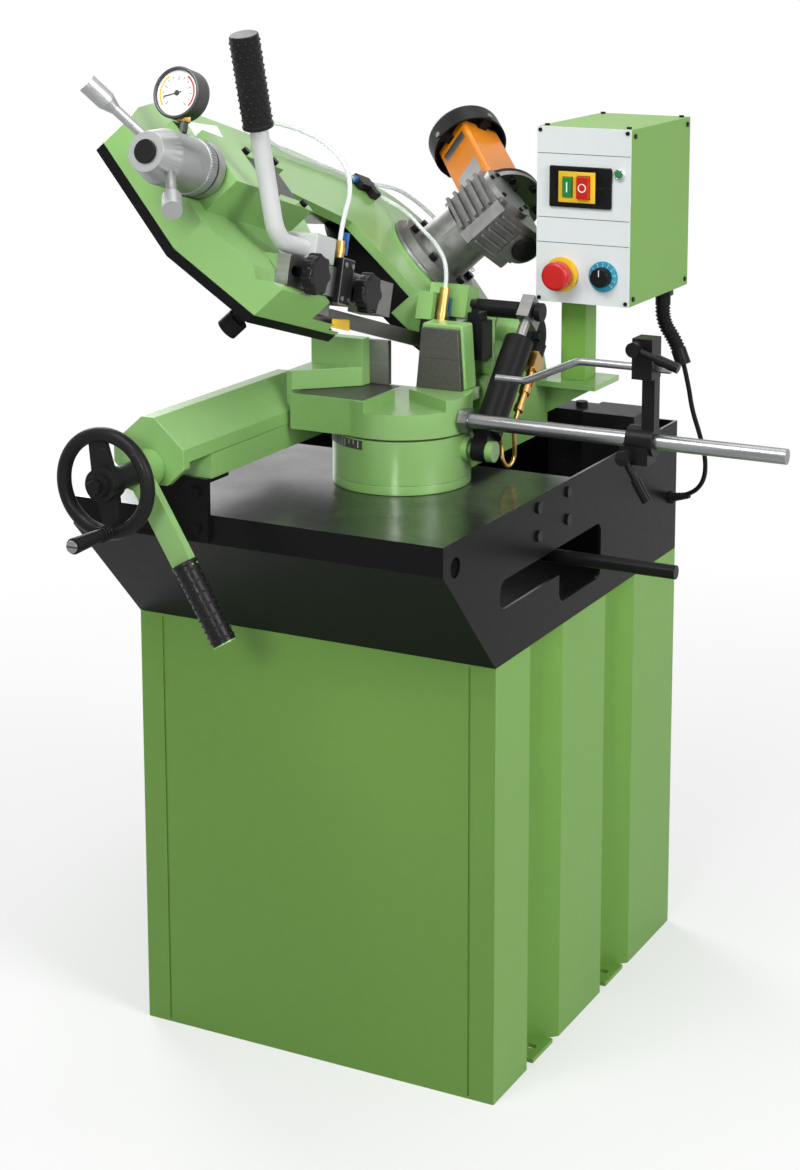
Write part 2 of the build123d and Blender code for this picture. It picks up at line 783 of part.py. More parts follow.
# Arm support: pot, arm, hinge column, shelf and switch bracket
switch_rear_y = hinge_y - 122
with BuildPart() as arm_support:
    rod("z", (swivel_x, swivel_y), pot_radius, pot_bottom, pot_top)
    block((swivel_x - 50, hinge_y - 182, arm_bottom), (column_right, hinge_y + 57, arm_top))
    with BuildSketch(Plane.YZ.offset(column_left)):
        Polygon(
            (hinge_y - 198, arm_bottom),
            (hinge_y + 57, arm_bottom),
            (hinge_y + 57, hinge_z - 67),
            (hinge_y + column_boss_radius - 4, hinge_z),
            (hinge_y - column_boss_radius + 4, hinge_z),
            (hinge_y - 102, hinge_z - 27),
            (hinge_y - 148, hinge_z - 35),
            (hinge_y - 148, pot_top - 3),
            (hinge_y - 198, pot_top - 3),
            align=None,
        )
        with Locations((hinge_y, hinge_z)):
            Circle(column_boss_radius)
    extrude(amount=column_right - column_left)
    rod("x", (pivot_y, pivot_z), 16, column_right - 10, cylinder_x - 16)
    rod("x", (pivot_y, pivot_z), pivot_pin_radius, cylinder_x - 16, cylinder_x + 11)
    rod("x", (pivot_y, pivot_z), 14, cylinder_x + 10.3, cylinder_x + 20)
    block(
        (column_left + 3.5, switch_rear_y, hinge_z - 52),
        (column_right - 2, switch_rear_y + 6, hinge_z + 46),
    )
    block((column_right, box_front + 15, shelf_top - 8), (box_left + 84, box_front + 103, shelf_top))
    with BuildSketch(Plane.XZ.offset(-box_front - 48)):
        Polygon(
            (column_right, shelf_top - 8),
            (box_left + 75, shelf_top - 8),
            (column_right, arm_top),
            align=None,
        )
    extrude(amount=-8)
    post_bore = pivot_post_radius + running_gap
    rod("z", (swivel_x, swivel_y), post_bore, pot_bottom - 1, pot_top + 1, Mode.SUBTRACT)
    rod("x", (hinge_y, hinge_z), hinge_radius, column_left - 1, column_right + 1, Mode.SUBTRACT)
arm_support.part.label = "arm_support"
export_step(arm_support.part, "parts/arm_support.step")

# Hinge shaft with spacer collar and end disc
boss_right = column_left - 4.5
with BuildPart() as hinge_shaft:
    rod("x", (hinge_y, hinge_z), hinge_radius, blade_x + 2, column_right + 4)
    rod("x", (hinge_y, hinge_z), 24, boss_right + slide_gap, column_left)
    rod("x", (hinge_y, hinge_z), 31.5, column_right, column_right + 9)
    with BuildSketch(Plane.YZ.offset(column_right + 9)):
        with Locations((hinge_y, hinge_z)):
            RegularPolygon(11, 6)
    extrude(amount=8)
hinge_shaft.part.label = "hinge_shaft"
export_step(hinge_shaft.part, "parts/hinge_shaft.step")

# Limit switch on its bracket
switch_top = hinge_z + 45
with BuildPart() as limit_switch:
    block(
        (column_left + 8.5, switch_rear_y - 32, hinge_z - 7),
        (column_right - 3, switch_rear_y, switch_top),
    )
    block(
        (column_left + 14.5, switch_rear_y - 28, switch_top),
        (column_right - 9, switch_rear_y - 4, switch_top + 12),
    )
    block(
        (column_left + 19.5, switch_rear_y - 26, switch_top + 12),
        (column_right - 14, switch_rear_y - 20, switch_top + 24),
    )
    rod("x", (switch_rear_y - 23, switch_top + 24), 6, column_left + 18.5, column_right - 13)
limit_switch.part.label = "limit_switch"
export_step(limit_switch.part, "parts/limit_switch.step")

# Control box welded to its post, and the front panel
post_left = box_left + 21
post_front = box_front + 39
with BuildPart() as control_box:
    block((box_left, box_front, box_bottom), (box_right, box_rear, box_top))
    block((post_left, post_front, shelf_top), (post_left + post_width, post_front + post_width, box_bottom))
    block(
        (post_left + post_wall, post_front + post_wall, shelf_top),
        (post_left + post_width - post_wall, post_front + post_width - post_wall, box_bottom),
        Mode.SUBTRACT,
    )
    block(
        (box_left + box_sheet, box_front, box_bottom + box_sheet),
        (box_right - box_sheet, box_rear - box_sheet, box_top - box_sheet),
        Mode.SUBTRACT,
    )
control_box.part.label = "control_box"
export_step(control_box.part, "parts/control_box.step")
panel_y = box_front - panel_thickness
plate_y = panel_y - switch_plate_thickness
with BuildPart() as control_panel:
    block((box_left, panel_y, box_bottom), (box_right, box_front, box_top))
    block((box_left + 21, plate_y, button_z - 28), (box_left + 113, panel_y, button_z + 28))
    rod("y", (box_left + 124, button_z + 21), 7, panel_y - 5, panel_y)
    rod("y", (emergency_x, emergency_z), 24, panel_y - 4, panel_y)
    rod("y", (speed_x, speed_z), 21, panel_y - 3, panel_y)
    block(
        (start_x - start_half_width, plate_y - 1, button_z - start_half_height),
        (start_x + start_half_width, box_front, button_z + start_half_height),
        Mode.SUBTRACT,
    )
    block(
        (stop_x - stop_half_width, plate_y - 1, button_z - stop_half_height),
        (stop_x + stop_half_width, box_front, button_z + stop_half_height),
        Mode.SUBTRACT,
    )
    rod("y", (emergency_x, emergency_z), emergency_stem + slide_gap, panel_y - 5, box_front, Mode.SUBTRACT)
    rod("y", (speed_x, speed_z), speed_stem + running_gap, panel_y - 4, box_front, Mode.SUBTRACT)
control_panel.part.label = "control_panel"
export_step(control_panel.part, "parts/control_panel.step")

# Push buttons and speed knob
with BuildPart() as start_button:
    block(
        (start_x - start_half_width + slide_gap, plate_y - 5, button_z - start_half_height + slide_gap),
        (start_x + start_half_width - slide_gap, box_front + 6, button_z + start_half_height - slide_gap),
    )
start_button.part.label = "start_button"
export_step(start_button.part, "parts/start_button.step")
with BuildPart() as stop_button:
    block(
        (stop_x - stop_half_width + slide_gap, plate_y - 8, button_z - stop_half_height + slide_gap),
        (stop_x + stop_half_width - slide_gap, box_front + 6, button_z + stop_half_height - slide_gap),
    )
stop_button.part.label = "stop_button"
export_step(stop_button.part, "parts/stop_button.step")
with BuildPart() as emergency_button:
    rod("y", (emergency_x, emergency_z), 20, panel_y - 30, panel_y - 12)
    fillet(emergency_button.edges().group_by(Axis.Y)[0], 5)
    rod("y", (emergency_x, emergency_z), emergency_stem, panel_y - 12, box_front + 6)
emergency_button.part.label = "emergency_button"
export_step(emergency_button.part, "parts/emergency_button.step")
with BuildPart() as speed_knob:
    rod("y", (speed_x, speed_z), 13.5, panel_y - 18, panel_y - 3 - slide_gap)
    fillet(speed_knob.edges().group_by(Axis.Y)[0], 2)
    rod("y", (speed_x, speed_z), speed_stem, panel_y - 4, box_front + 6)
speed_knob.part.label = "speed_knob"
export_step(speed_knob.part, "parts/speed_knob.step")

# Ribbed conduit below the box
conduit_points = (
    (box_right - 14, box_rear - 60, box_bottom),
    (box_right - 14, box_rear - 60, box_bottom - 45),
    (box_right + 7, box_rear - 60, box_bottom - 75),
    (box_right + 19.6, box_rear - 60, box_bottom - 106.8),
)
with BuildPart() as conduit:
    with BuildLine() as conduit_path:
        FilletPolyline(*conduit_points, radius=corner_radii(conduit_points, "conduit"))
    conduit_wire = conduit_path.wires()[0]
    conduit_straight = 2 * conduit_radius
    rib_count = int((conduit_wire.length - 2 * conduit_straight) / conduit_pitch)
    rib_end = conduit_straight + rib_count * conduit_pitch
    rib_steps = [(0, conduit_radius), (conduit_straight, conduit_radius)]
    for rib in range(rib_count):
        rib_start = conduit_straight + rib * conduit_pitch
        rib_steps.append((rib_start + 0.25 * conduit_pitch, conduit_radius - conduit_groove))
        rib_steps.append((rib_start + 0.5 * conduit_pitch, conduit_radius - conduit_groove))
        rib_steps.append((rib_start + 0.75 * conduit_pitch, conduit_radius))
        rib_steps.append((rib_start + conduit_pitch, conduit_radius))
    rib_steps.append((conduit_wire.length, conduit_radius))
    for distance, radius in rib_steps:
        spot = conduit_wire.position_at(distance, position_mode=PositionMode.LENGTH)
        heading = conduit_wire.tangent_at(distance, position_mode=PositionMode.LENGTH)
        with BuildSketch(Plane(origin=spot, x_dir=(1, 0, 0), z_dir=heading)):
            Circle(radius)
    loft(ruled=True)
    with BuildSketch(conduit_wire ^ 0):
        Circle(conduit_bore)
    sweep(path=conduit_wire, mode=Mode.SUBTRACT)
conduit.part.label = "conduit"
export_step(conduit.part, "parts/conduit.step")

# Feed cylinder on its lower pivot
with BuildPart(cylinder_plane) as feed_cylinder:
    rod("z", (0, 0), cylinder_radius, 24, cylinder_length)
    block((-10, -15, 0), (10, 15, 26))
    rod("x", (0, 0), 15, -10, 10)
    rod("x", (0, 0), pivot_pin_radius + running_gap, -11, 11, Mode.SUBTRACT)
    rod("z", (0, 0), piston_rod_radius + running_gap, 32, cylinder_length + 1, Mode.SUBTRACT)
feed_cylinder.part.label = "feed_cylinder"
export_step(feed_cylinder.part, "parts/feed_cylinder.step")

# Feed valve with its pipe beside the cylinder
valve_y = cylinder_radius + 16
pipe_points = (
    (14, valve_y, 85),
    (14, valve_y + 2, 62),
    (13, valve_y + 24, 46),
    (11, valve_y + 42, 34),
    (7, valve_y + 40, 16),
    (3, valve_y + 22, 20),
    (0, valve_y + 14, 38),
    (0, cylinder_radius + 13, 38),
)
with BuildPart(cylinder_plane) as feed_valve:
    block((5, cylinder_radius + 0.2, 146), (23, valve_y + 9, 170))
    block((-9, cylinder_radius + 0.2, 150), (5, cylinder_radius + 8, 166))
    rod("z", (14, valve_y), 5.5, 92, 146)
    rod("z", (14, valve_y), 8, 112, 122)
    rod("z", (14, valve_y), 7, 84, 92)
    rod("y", (0, 38), 7, cylinder_radius + 0.2, cylinder_radius + 14)
    with BuildLine(cylinder_plane) as pipe_path:
        FilletPolyline(*pipe_points, radius=corner_radii(pipe_points, "feed_pipe"))
    with BuildSketch(pipe_path.line ^ 0):
        Circle(3)
    sweep()
    rod("y", (14, 131), 2, valve_y, valve_y + 9)
    block((10, valve_y + 7, 112), (18, valve_y + 10, 139))
    rod("z", (14, valve_y), 4 + running_gap, 158, 171, Mode.SUBTRACT)
feed_valve.part.label = "feed_valve"
export_step(feed_valve.part, "parts/feed_valve.step")
with BuildPart(cylinder_plane) as feed_knob:
    rod("z", (14, valve_y), 9, 170 + slide_gap, 190)
    rod("z", (14, valve_y), 4, 159, 171)
feed_knob.part.label = "feed_knob"
export_step(feed_knob.part, "parts/feed_knob.step")

# Piston rod with slotted eye
eye_middle = (eye_slot_low + eye_slot_high) / 2
with BuildPart(cylinder_plane) as piston_rod:
    rod("z", (0, 0), piston_rod_radius, 64, cylinder_run - 12)
    block((-9, eye_middle - 20, cylinder_run - 17), (9, eye_middle + 20, cylinder_run + 17))
    block(
        (-10, eye_slot_low, cylinder_run - eye_pin_radius - eye_slot_along),
        (10, eye_slot_high, cylinder_run + eye_pin_radius + eye_slot_along),
        Mode.SUBTRACT,
    )
    rod("x", (eye_slot_low, cylinder_run), eye_pin_radius + eye_slot_along, -10, 10, Mode.SUBTRACT)
    rod("x", (eye_slot_high, cylinder_run), eye_pin_radius + eye_slot_along, -10, 10, Mode.SUBTRACT)
piston_rod.part.label = "piston_rod"
export_step(piston_rod.part, "parts/piston_rod.step")

# Bow outline in the wheel plane: x runs back, y runs up and left
front_outline = (
    (-throat_s, -16),
    (-idler_s - 63.5, -16),
    (-front_s, wheel_v - 65.8),
    (-front_s, wheel_v + 102.2),
    (39 - front_s, wheel_v + 128.2),
    (-idler_s - 38.5, wheel_v + 162.2),
    (22.5 - (drive_s + idler_s) / 2, wheel_v + 164.2),
    (-drive_s, wheel_v + housing_radius),
    (-drive_s, wheel_v + 44.2),
    (0.5 - drive_s - wheel_radius, 69),
    (-drive_s - wheel_radius - 53.5, wheel_v + 40.2),
    (38.6 - throat_s, wheel_v + 60.2),
    (-throat_s, 82),
)
with BuildSketch() as bow_outline:
    Polygon(*front_outline, align=None)
    with Locations((-drive_s, wheel_v)):
        Circle(housing_radius)
with BuildSketch() as bow_cavity:
    add(bow_outline.sketch)
    offset(amount=-wall, kind=Kind.INTERSECTION, mode=Mode.REPLACE)

# Bow casting with hinge boss, lugs and tension housing
guide_low_v = wheel_v - slide_half_width - slide_gap
guide_high_v = wheel_v + slide_half_width + slide_gap
rail_low_v = guide_low_v - rail_height
rail_high_v = guide_high_v + rail_height
stem_v = rail_high_v + 18.5
stem_s = front_s - 40
stem_radius = 6.0
stem_x = tension_n * math.sin(tilt) - stem_v * math.cos(tilt)
stem_w = tension_n * math.cos(tilt) + stem_v * math.sin(tilt)
gauge_x = stem_x - 8
gauge_w = stem_w + 49
pin_s = (hinge_y - pin_y - band_drop * math.sin(rise)) * math.cos(rise) + (
    pin_z - hinge_z + band_drop * math.cos(rise)
) * math.sin(rise)
pin_w = (pin_y - hinge_y + band_drop * math.sin(rise)) * math.sin(rise) + (
    pin_z - hinge_z + band_drop * math.cos(rise)
) * math.cos(rise)
with BuildPart() as bow_body:
    with BuildSketch(wheel_plane.offset(cast_back)):
        add(bow_outline.sketch)
    extrude(amount=cast_front - cast_back)
with BuildPart(wheel_plane) as tension_housing:
    rod("z", (-drive_s, wheel_v), 75, web_back, cast_front + seat_height)
    block((-rail_front_s, rail_low_v, web_back), (-post_rear_s, rail_high_v, slide_front + 8))
    block((-rail_front_s, rail_high_v, web_back), (-post_rear_s, stem_v + 18.5, tension_n + 4))
    block((-rail_front_s, rail_low_v, web_back), (-rail_rear_s, guide_low_v, slide_front + 2))
    block((-rail_front_s, guide_high_v, web_back), (-rail_rear_s, rail_high_v, slide_front + 2))
    block((-rail_front_s, rail_low_v, slide_front + 2), (-bridge_s, rail_high_v, slide_front + 8))
with BuildPart(blade_plane) as bow_lugs:
    rod("z", (0, band_drop), 30, -30, boss_right - blade_x)
    block((-135, 40, -20), (-100, 85, 38))
    rod("z", (-pin_s, pin_w), 19, -30, 34)
    block((-173, 30, -18), (-143, 68, 5))
    block(
        (-guide_pin_s - 28, 24, -10),
        (27 - guide_pin_s, guide_bar_high, guide_bar_left - slide_gap),
    )
    block(
        (-lug_front_s, guide_bar_high + open_gap, -20),
        (-lug_rear_s, handle_w + handle_radius + lug_wall, handle_x + handle_radius + lug_wall),
    )
with BuildPart(wheel_plane) as bow_hollow:
    with BuildSketch(wheel_plane.offset(cast_back - 60)):
        add(bow_cavity.sketch)
    extrude(amount=web_back - cast_back + 60)
    rod("z", (-idler_s + tension_travel, wheel_v), wheel_radius + 1, cast_back - 60, web_back)
with BuildPart(blade_plane) as bow_cuts:
    block((-throat_s - 27.4, -17, -14), (27.6 - throat_s, 17, 14))
    block((-140, -17, -14), (-60, 17, 14))
    block((-guide_head_front - 15, -10, -10), (7.6 - throat_s, 72, 60))
    block((-174, -3, -11), (-142, 30, 23))
    rod("y", (-stem_s, stem_x), stem_radius, stem_w + 4, stem_w + 61)
    block(
        (-guide_slot_front - 70, guide_bar_low - open_gap, guide_bar_left - slide_gap),
        (7.6 - throat_s, guide_bar_high + open_gap, 90),
    )
    rod("z", (0, band_drop), hinge_radius + running_gap, 1, 60)
    rod("z", (-pin_s, pin_w), 12, -14, 60)
    rod("x", (handle_w, handle_x), handle_radius, -lug_front_s - 1, -lug_rear_s + 1)
    rod("z", (-guide_pin_s, guide_pin_w), guide_pin_radius + running_gap, -4, 40)
with BuildPart(wheel_plane) as tension_cuts:
    rod("z", (-drive_s, wheel_v), drive_shaft_radius + 3, 0, 60)
    block(
        (-idler_s, wheel_v - idler_shaft_radius - 2, 0),
        (-idler_s + tension_travel, wheel_v + idler_shaft_radius + 2, 50),
    )
    rod("z", (-idler_s, wheel_v), idler_shaft_radius + 2, 0, 50)
    rod("z", (-idler_s + tension_travel, wheel_v), idler_shaft_radius + 2, 0, 50)
    rod("x", (wheel_v, tension_n), tension_screw_radius + slide_gap, -rail_front_s - 5, -bridge_s + 12)
    rod("x", (wheel_v, tension_n), 36, -front_s - 5, -rail_front_s)
    block((0.1 - bridge_s, guide_low_v, cast_front), (1 - rail_rear_s, guide_high_v, slide_front + 12))
    block((-post_rear_s, guide_low_v, cast_front), (2 - bridge_s, guide_high_v, slide_front + 2))
with BuildPart() as bow_frame:
    add(bow_body.part)
    add(tension_housing.part)
    add(bow_lugs.part)
    add(bow_hollow.part, mode=Mode.SUBTRACT)
    add(bow_cuts.part, mode=Mode.SUBTRACT)
    add(tension_cuts.part, mode=Mode.SUBTRACT)
bow_frame.part.label = "bow_frame"
export_step(bow_frame.part, "parts/bow_frame.step")

# Sheet cover under the wheels
with BuildPart(wheel_plane) as wheel_cover:
    with BuildSketch(wheel_plane.offset(cast_back - cover_depth)):
        add(bow_outline.sketch)
    extrude(amount=cover_depth)
    with BuildSketch(wheel_plane.offset(cast_back - cover_depth + cover_sheet)):
        add(bow_outline.sketch)
        offset(amount=-cover_sheet, kind=Kind.INTERSECTION, mode=Mode.REPLACE)
    extrude(amount=cover_depth, mode=Mode.SUBTRACT)
    rod("z", (-idler_s - 48.5, 2), 8, cast_back - cover_depth - 20, cast_back - cover_depth)
    rod("z", (-idler_s - 48.5, 2), 14, cast_back - cover_depth - 32, cast_back - cover_depth - 12)
wheel_cover.part.label = "wheel_cover"
export_step(wheel_cover.part, "parts/wheel_cover.step")

# Blade: flat on the wheels, twisted upright between the guides
band_inner = wheel_radius + band_seat
band_outer = band_inner + blade_thickness
with BuildPart(wheel_plane) as blade:
    with BuildSketch(wheel_plane.offset(-blade_width / 2)):
        for centre, side in ((-drive_s, 1), (-idler_s, -1)):
            with BuildSketch(mode=Mode.PRIVATE) as ring:
                with Locations((centre, wheel_v)):
                    Circle(band_outer)
                    Circle(band_inner, mode=Mode.SUBTRACT)
                with Locations((centre - side * 100, wheel_v)):
                    Rectangle(200, 400, mode=Mode.SUBTRACT)
            add(ring.sketch)
        with Locations(((-drive_s - idler_s) / 2, 2 * wheel_v)):
            Rectangle(idler_s - drive_s, blade_thickness)
    extrude(amount=blade_width)
    for section_s, section_turn in (
        (drive_s, 1.0),
        (drive_s + 16.5, 0.97),
        (drive_s + 41.5, 0.66),
        (drive_s + 69.5, 0.3),
        (drive_s + 94.5, 0.0),
        (idler_s - 61.5, 0.0),
        (idler_s - 49.5, 0.35),
        (idler_s - 37.5, 0.7),
        (idler_s - 23.5, 1.0),
        (idler_s, 1.0),
    ):
        turn = tilt * section_turn
        width_dir = blade_plane.y_dir * math.cos(turn) + blade_plane.z_dir * math.sin(turn)
        section_at = blade_plane.from_local_coords(Vector(-section_s, 0, 0))
        with BuildSketch(Plane(origin=section_at, x_dir=width_dir, z_dir=bow_back)):
            Rectangle(blade_width, blade_thickness)
    loft(ruled=True)
blade.part.label = "blade"
export_step(blade.part, "parts/blade.step")

# Band wheels
with BuildPart(wheel_plane) as drive_wheel:
    rod("z", (-drive_s, wheel_v), wheel_radius, -wheel_half, wheel_half)
    rod("z", (-drive_s, wheel_v), wheel_radius - 16, -wheel_half - 1, -4, Mode.SUBTRACT)
    rod("z", (-drive_s, wheel_v), wheel_radius - 16, 4, wheel_half + 1, Mode.SUBTRACT)
    rod("z", (-drive_s, wheel_v), 32, -wheel_half, wheel_half)
    rod("z", (-drive_s, wheel_v), drive_shaft_radius, wheel_half, 150)
drive_wheel.part.label = "drive_wheel"
export_step(drive_wheel.part, "parts/drive_wheel.step")
with BuildPart(wheel_plane) as idler_wheel:
    rod("z", (-idler_s, wheel_v), wheel_radius, -wheel_half, wheel_half)
    rod("z", (-idler_s, wheel_v), wheel_radius - 16, -wheel_half - 1, -4, Mode.SUBTRACT)
    rod("z", (-idler_s, wheel_v), wheel_radius - 16, 4, wheel_half + 1, Mode.SUBTRACT)
    rod("z", (-idler_s, wheel_v), 32, -wheel_half, wheel_half)
    rod("z", (-idler_s, wheel_v), idler_shaft_radius + running_gap, -20, 20, Mode.SUBTRACT)
idler_wheel.part.label = "idler_wheel"
export_step(idler_wheel.part, "parts/idler_wheel.step")

# Tension slide that carries the idler shaft
with BuildPart(wheel_plane) as tension_slide:
    block(
        (-idler_s - slide_front_run, wheel_v - slide_half_width, cast_front + slide_gap),
        (slide_rear_run - idler_s, wheel_v + slide_half_width, slide_front),
    )
    rod("z", (-idler_s, wheel_v), idler_shaft_radius, -wheel_half - 1, cast_front + 2)
    rod("z", (-idler_s, wheel_v), 21, -wheel_half - 5, -wheel_half - slide_gap)
    rod("z", (-idler_s, wheel_v), 21, wheel_half + slide_gap, wheel_half + 4)
    rod(
        "x",
        (wheel_v, tension_n),
        tension_screw_radius + running_gap,
        -idler_s - slide_front_run - 1,
        slide_rear_run - 6 - idler_s,
        Mode.SUBTRACT,
    )
tension_slide.part.label = "tension_slide"
export_step(tension_slide.part, "parts/tension_slide.step")

# Tension knob with two leaning levers and its screw
knob_plane = Plane(
    origin=wheel_plane.from_local_coords(Vector(-rail_front_s - 2, wheel_v, tension_n)),
    x_dir=wheel_plane.y_dir,
    z_dir=-wheel_plane.x_dir,
)
with BuildPart(knob_plane) as tension_knob:
    rod("z", (0, 0), tension_screw_radius, idler_s - rail_front_s - 1.5, 6)
    rod("z", (0, 0), 34, 2, 16)
    rod("z", (0, 0), 31, 16, 20)
    rod("z", (0, 0), 34, 20, 34)
    rod("z", (0, 0), 33, 34, 88)
    with Locations((0, 0, 88)):
        Cone(33, 23.5, 32, align=(Align.CENTER, Align.CENTER, Align.MIN))
    for lean in (1, -1):
        with Locations(Location((lean * 16, 0, 84), (0, lean * 49, 0))):
            Cylinder(6, 72, align=(Align.CENTER, Align.CENTER, Align.MIN))
            with Locations((0, 0, 62)):
                Cone(6, 11.5, 16, align=(Align.CENTER, Align.CENTER, Align.MIN))
            with Locations((0, 0, 78)):
                Cylinder(11.5, 30, align=(Align.CENTER, Align.CENTER, Align.MIN))
tension_knob.part.label = "tension_knob"
export_step(tension_knob.part, "parts/tension_knob.step")

# Pressure gauge on its stem
with BuildPart(blade_plane) as pressure_gauge:
    rod("y", (-stem_s, stem_x), stem_radius - running_gap, stem_w + 4, stem_w + 23)
    rod("x", (gauge_w, gauge_x), 31.5, -stem_s - 12, 12 - stem_s)
    rod("x", (gauge_w, gauge_x), 28, -stem_s - 13, -stem_s - 10, Mode.SUBTRACT)
pressure_gauge.part.label = "pressure_gauge"
export_step(pressure_gauge.part, "parts/pressure_gauge.step")

# Gear motor: flange, worm housing, motor, cowl and rotor
lean = math.radians(motor_lean)
worm_at = Vector(worm_offset * math.cos(lean) - drive_s, wheel_v - worm_offset * math.sin(lean), worm_n)
motor_plane = Plane(
    origin=wheel_plane.from_local_coords(worm_at),
    x_dir=wheel_plane.z_dir,
    z_dir=wheel_plane.x_dir * math.sin(lean) + wheel_plane.y_dir * math.cos(lean),
)
flange_low = cast_front + seat_height
with BuildPart(motor_plane) as worm_housing:
    rod("z", (0, 0), 28, -gear_drop, motor_start - 12)
    rod("z", (0, 0), motor_flange_radius, motor_start - 14, motor_start)
with BuildPart(motor_plane) as gear_block:
    block(
        (gear_low - worm_n, -worm_offset - gear_front, -gear_drop),
        (gear_high - worm_n, gear_rear, gear_rise),
    )
    chamfer(gear_block.edges().filter_by(Axis((0, 0, 0), motor_plane.x_dir)), gear_corner)
    for fin in range(-2, 3):
        fin_x = (gear_low + gear_high) / 2 - worm_n + fin * fin_pitch
        block(
            (fin_x - 2.5, -worm_offset - gear_front - fin_height, gear_corner - gear_drop),
            (fin_x + 2.5, -worm_offset - gear_front, gear_rise - gear_corner),
        )
with BuildPart(wheel_plane) as gear_housing:
    rod("z", (-drive_s, wheel_v), gear_flange_radius, flange_low, flange_low + 13)
    rod("z", (-drive_s, wheel_v), 44, flange_low + 13, gear_low + 4)
    rod("z", (-drive_s, wheel_v), 42, gear_high, gear_high + 8)
with BuildPart(wheel_plane) as gear_bore:
    rod("z", (-drive_s, wheel_v), drive_shaft_radius + running_gap, flange_low - 1, 151)
with BuildPart() as gearbox:
    add(gear_housing.part)
    add(gear_block.part)
    add(worm_housing.part)
    add(gear_bore.part, mode=Mode.SUBTRACT)
gearbox.part.label = "gearbox"
export_step(gearbox.part, "parts/gearbox.step")
roll = math.radians(motor_roll)
frame_plane = Plane(
    origin=motor_plane.origin,
    x_dir=motor_plane.x_dir * math.cos(roll) + motor_plane.y_dir * math.sin(roll),
    z_dir=motor_plane.z_dir,
)
with BuildPart(frame_plane) as motor_body:
    block((-motor_half, -motor_half, motor_start), (motor_half, motor_half, motor_end))
    chamfer(motor_body.edges().filter_by(Axis((0, 0, 0), motor_plane.z_dir)), motor_corner)
    rod("z", (0, 0), rotor_shaft_radius + running_gap, motor_end - 60, motor_end + 1, Mode.SUBTRACT)
motor_body.part.label = "motor_body"
export_step(motor_body.part, "parts/motor_body.step")
with BuildPart(frame_plane) as fan_cowl:
    cowl_low = motor_end - cowl_lap
    cowl_high = cowl_low + cowl_length
    rod("z", (0, 0), cowl_radius, cowl_low, cowl_high)
    fillet(fan_cowl.edges().group_by(Axis((0, 0, 0), motor_plane.z_dir))[-1], 9)
    rod("z", (0, 0), cowl_radius - cowl_sheet, cowl_low - 1, cowl_high - cowl_sheet, Mode.SUBTRACT)
    for side in (-1, 1):
        inner, outer = sorted((side * motor_half, side * (cowl_radius - 1)))
        block((inner, -7, cowl_low + 3), (outer, 7, motor_end - 3))
        block((-7, inner, cowl_low + 3), (7, outer, motor_end - 3))
fan_cowl.part.label = "fan_cowl"
export_step(fan_cowl.part, "parts/fan_cowl.step")
with BuildPart(motor_plane) as motor_rotor:
    rod("z", (0, 0), rotor_shaft_radius, motor_end - 58, motor_end + 16)
    rod("z", (0, 0), cowl_radius - 12, motor_end + 4, motor_end + 14)
motor_rotor.part.label = "motor_rotor"
export_step(motor_rotor.part, "parts/motor_rotor.step")

# Pin on the bow that drives the piston rod
with BuildPart(blade_plane) as cylinder_pin:
    eye_left = cylinder_x - blade_x - 9
    rod("z", (-pin_s, pin_w), 12, -14, eye_left - 4)
    rod("z", (-pin_s, pin_w), eye_pin_radius, eye_left - 4, eye_left + 24)
    rod("z", (-pin_s, pin_w), 13, eye_left + 21, eye_left + 30)
cylinder_pin.part.label = "cylinder_pin"
export_step(cylinder_pin.part, "parts/cylinder_pin.step")

# Front guide bar with end block and guide head, slotted for its clamp screw
with BuildPart(blade_plane) as guide_bar:
    bar_rear = idler_s - 216.5
    end_front = idler_s - 185.5
    end_rear = idler_s - 221.5
    blade_room = blade_thickness / 2 + 0.4
    block((-guide_pin_s - 36, guide_bar_low, guide_bar_left), (-bar_rear, guide_bar_high, guide_bar_right))
    block((-end_front, 14, -12), (-end_rear, 58, guide_bar_right))
    block((-guide_head_front, 12, 4), (-guide_head_rear, 70, 37.5))
    block((-guide_head_front, -2, -4.5), (-guide_head_rear, 12, 10))
    block((-guide_head_front - 1, -3, -blade_room), (1 - guide_head_rear, 11, blade_room), Mode.SUBTRACT)
    block((-end_front - 1, 10, -blade_room), (1 - end_rear, 15, blade_room), Mode.SUBTRACT)
    block((-guide_slot_front, guide_pin_w - 6, 0), (-guide_slot_rear, guide_pin_w + 6, 40), Mode.SUBTRACT)
    rod("z", (-guide_slot_front, guide_pin_w), 6, 0, 40, Mode.SUBTRACT)
    rod("z", (-guide_slot_rear, guide_pin_w), 6, 0, 40, Mode.SUBTRACT)
    rod("z", (-guide_stud_s, guide_stud_w), guide_pin_radius + running_gap, 0, 40, Mode.SUBTRACT)
guide_bar.part.label = "guide_bar"
export_step(guide_bar.part, "parts/guide_bar.step")
for name, knob_s, knob_w, stud_low in (
    ("guide_knob_front", guide_pin_s, guide_pin_w, -3),
    ("guide_knob_rear", guide_stud_s, guide_stud_w, guide_bar_left + 1),
):
    with BuildPart(blade_plane) as guide_knob:
        rod("z", (-knob_s, knob_w), 24, guide_bar_right + 8, guide_bar_right + 24)
        fillet(guide_knob.edges(), 5)
        rod("z", (-knob_s, knob_w), 11, guide_bar_right + slide_gap, guide_bar_right + 10)
        rod("z", (-knob_s, knob_w), guide_pin_radius, stud_low, guide_bar_right + 2)
    guide_knob.part.label = name
    export_step(guide_knob.part, "parts/" + name + ".step")

# Rear blade guide
with BuildPart(blade_plane) as rear_guide:
    block((-173, -2, -10), (-143, 30, 22))
    block((-174, -3, -blade_thickness / 2 - 0.4), (-142, 11, blade_thickness / 2 + 0.4), Mode.SUBTRACT)
rear_guide.part.label = "rear_guide"
export_step(rear_guide.part, "parts/rear_guide.step")

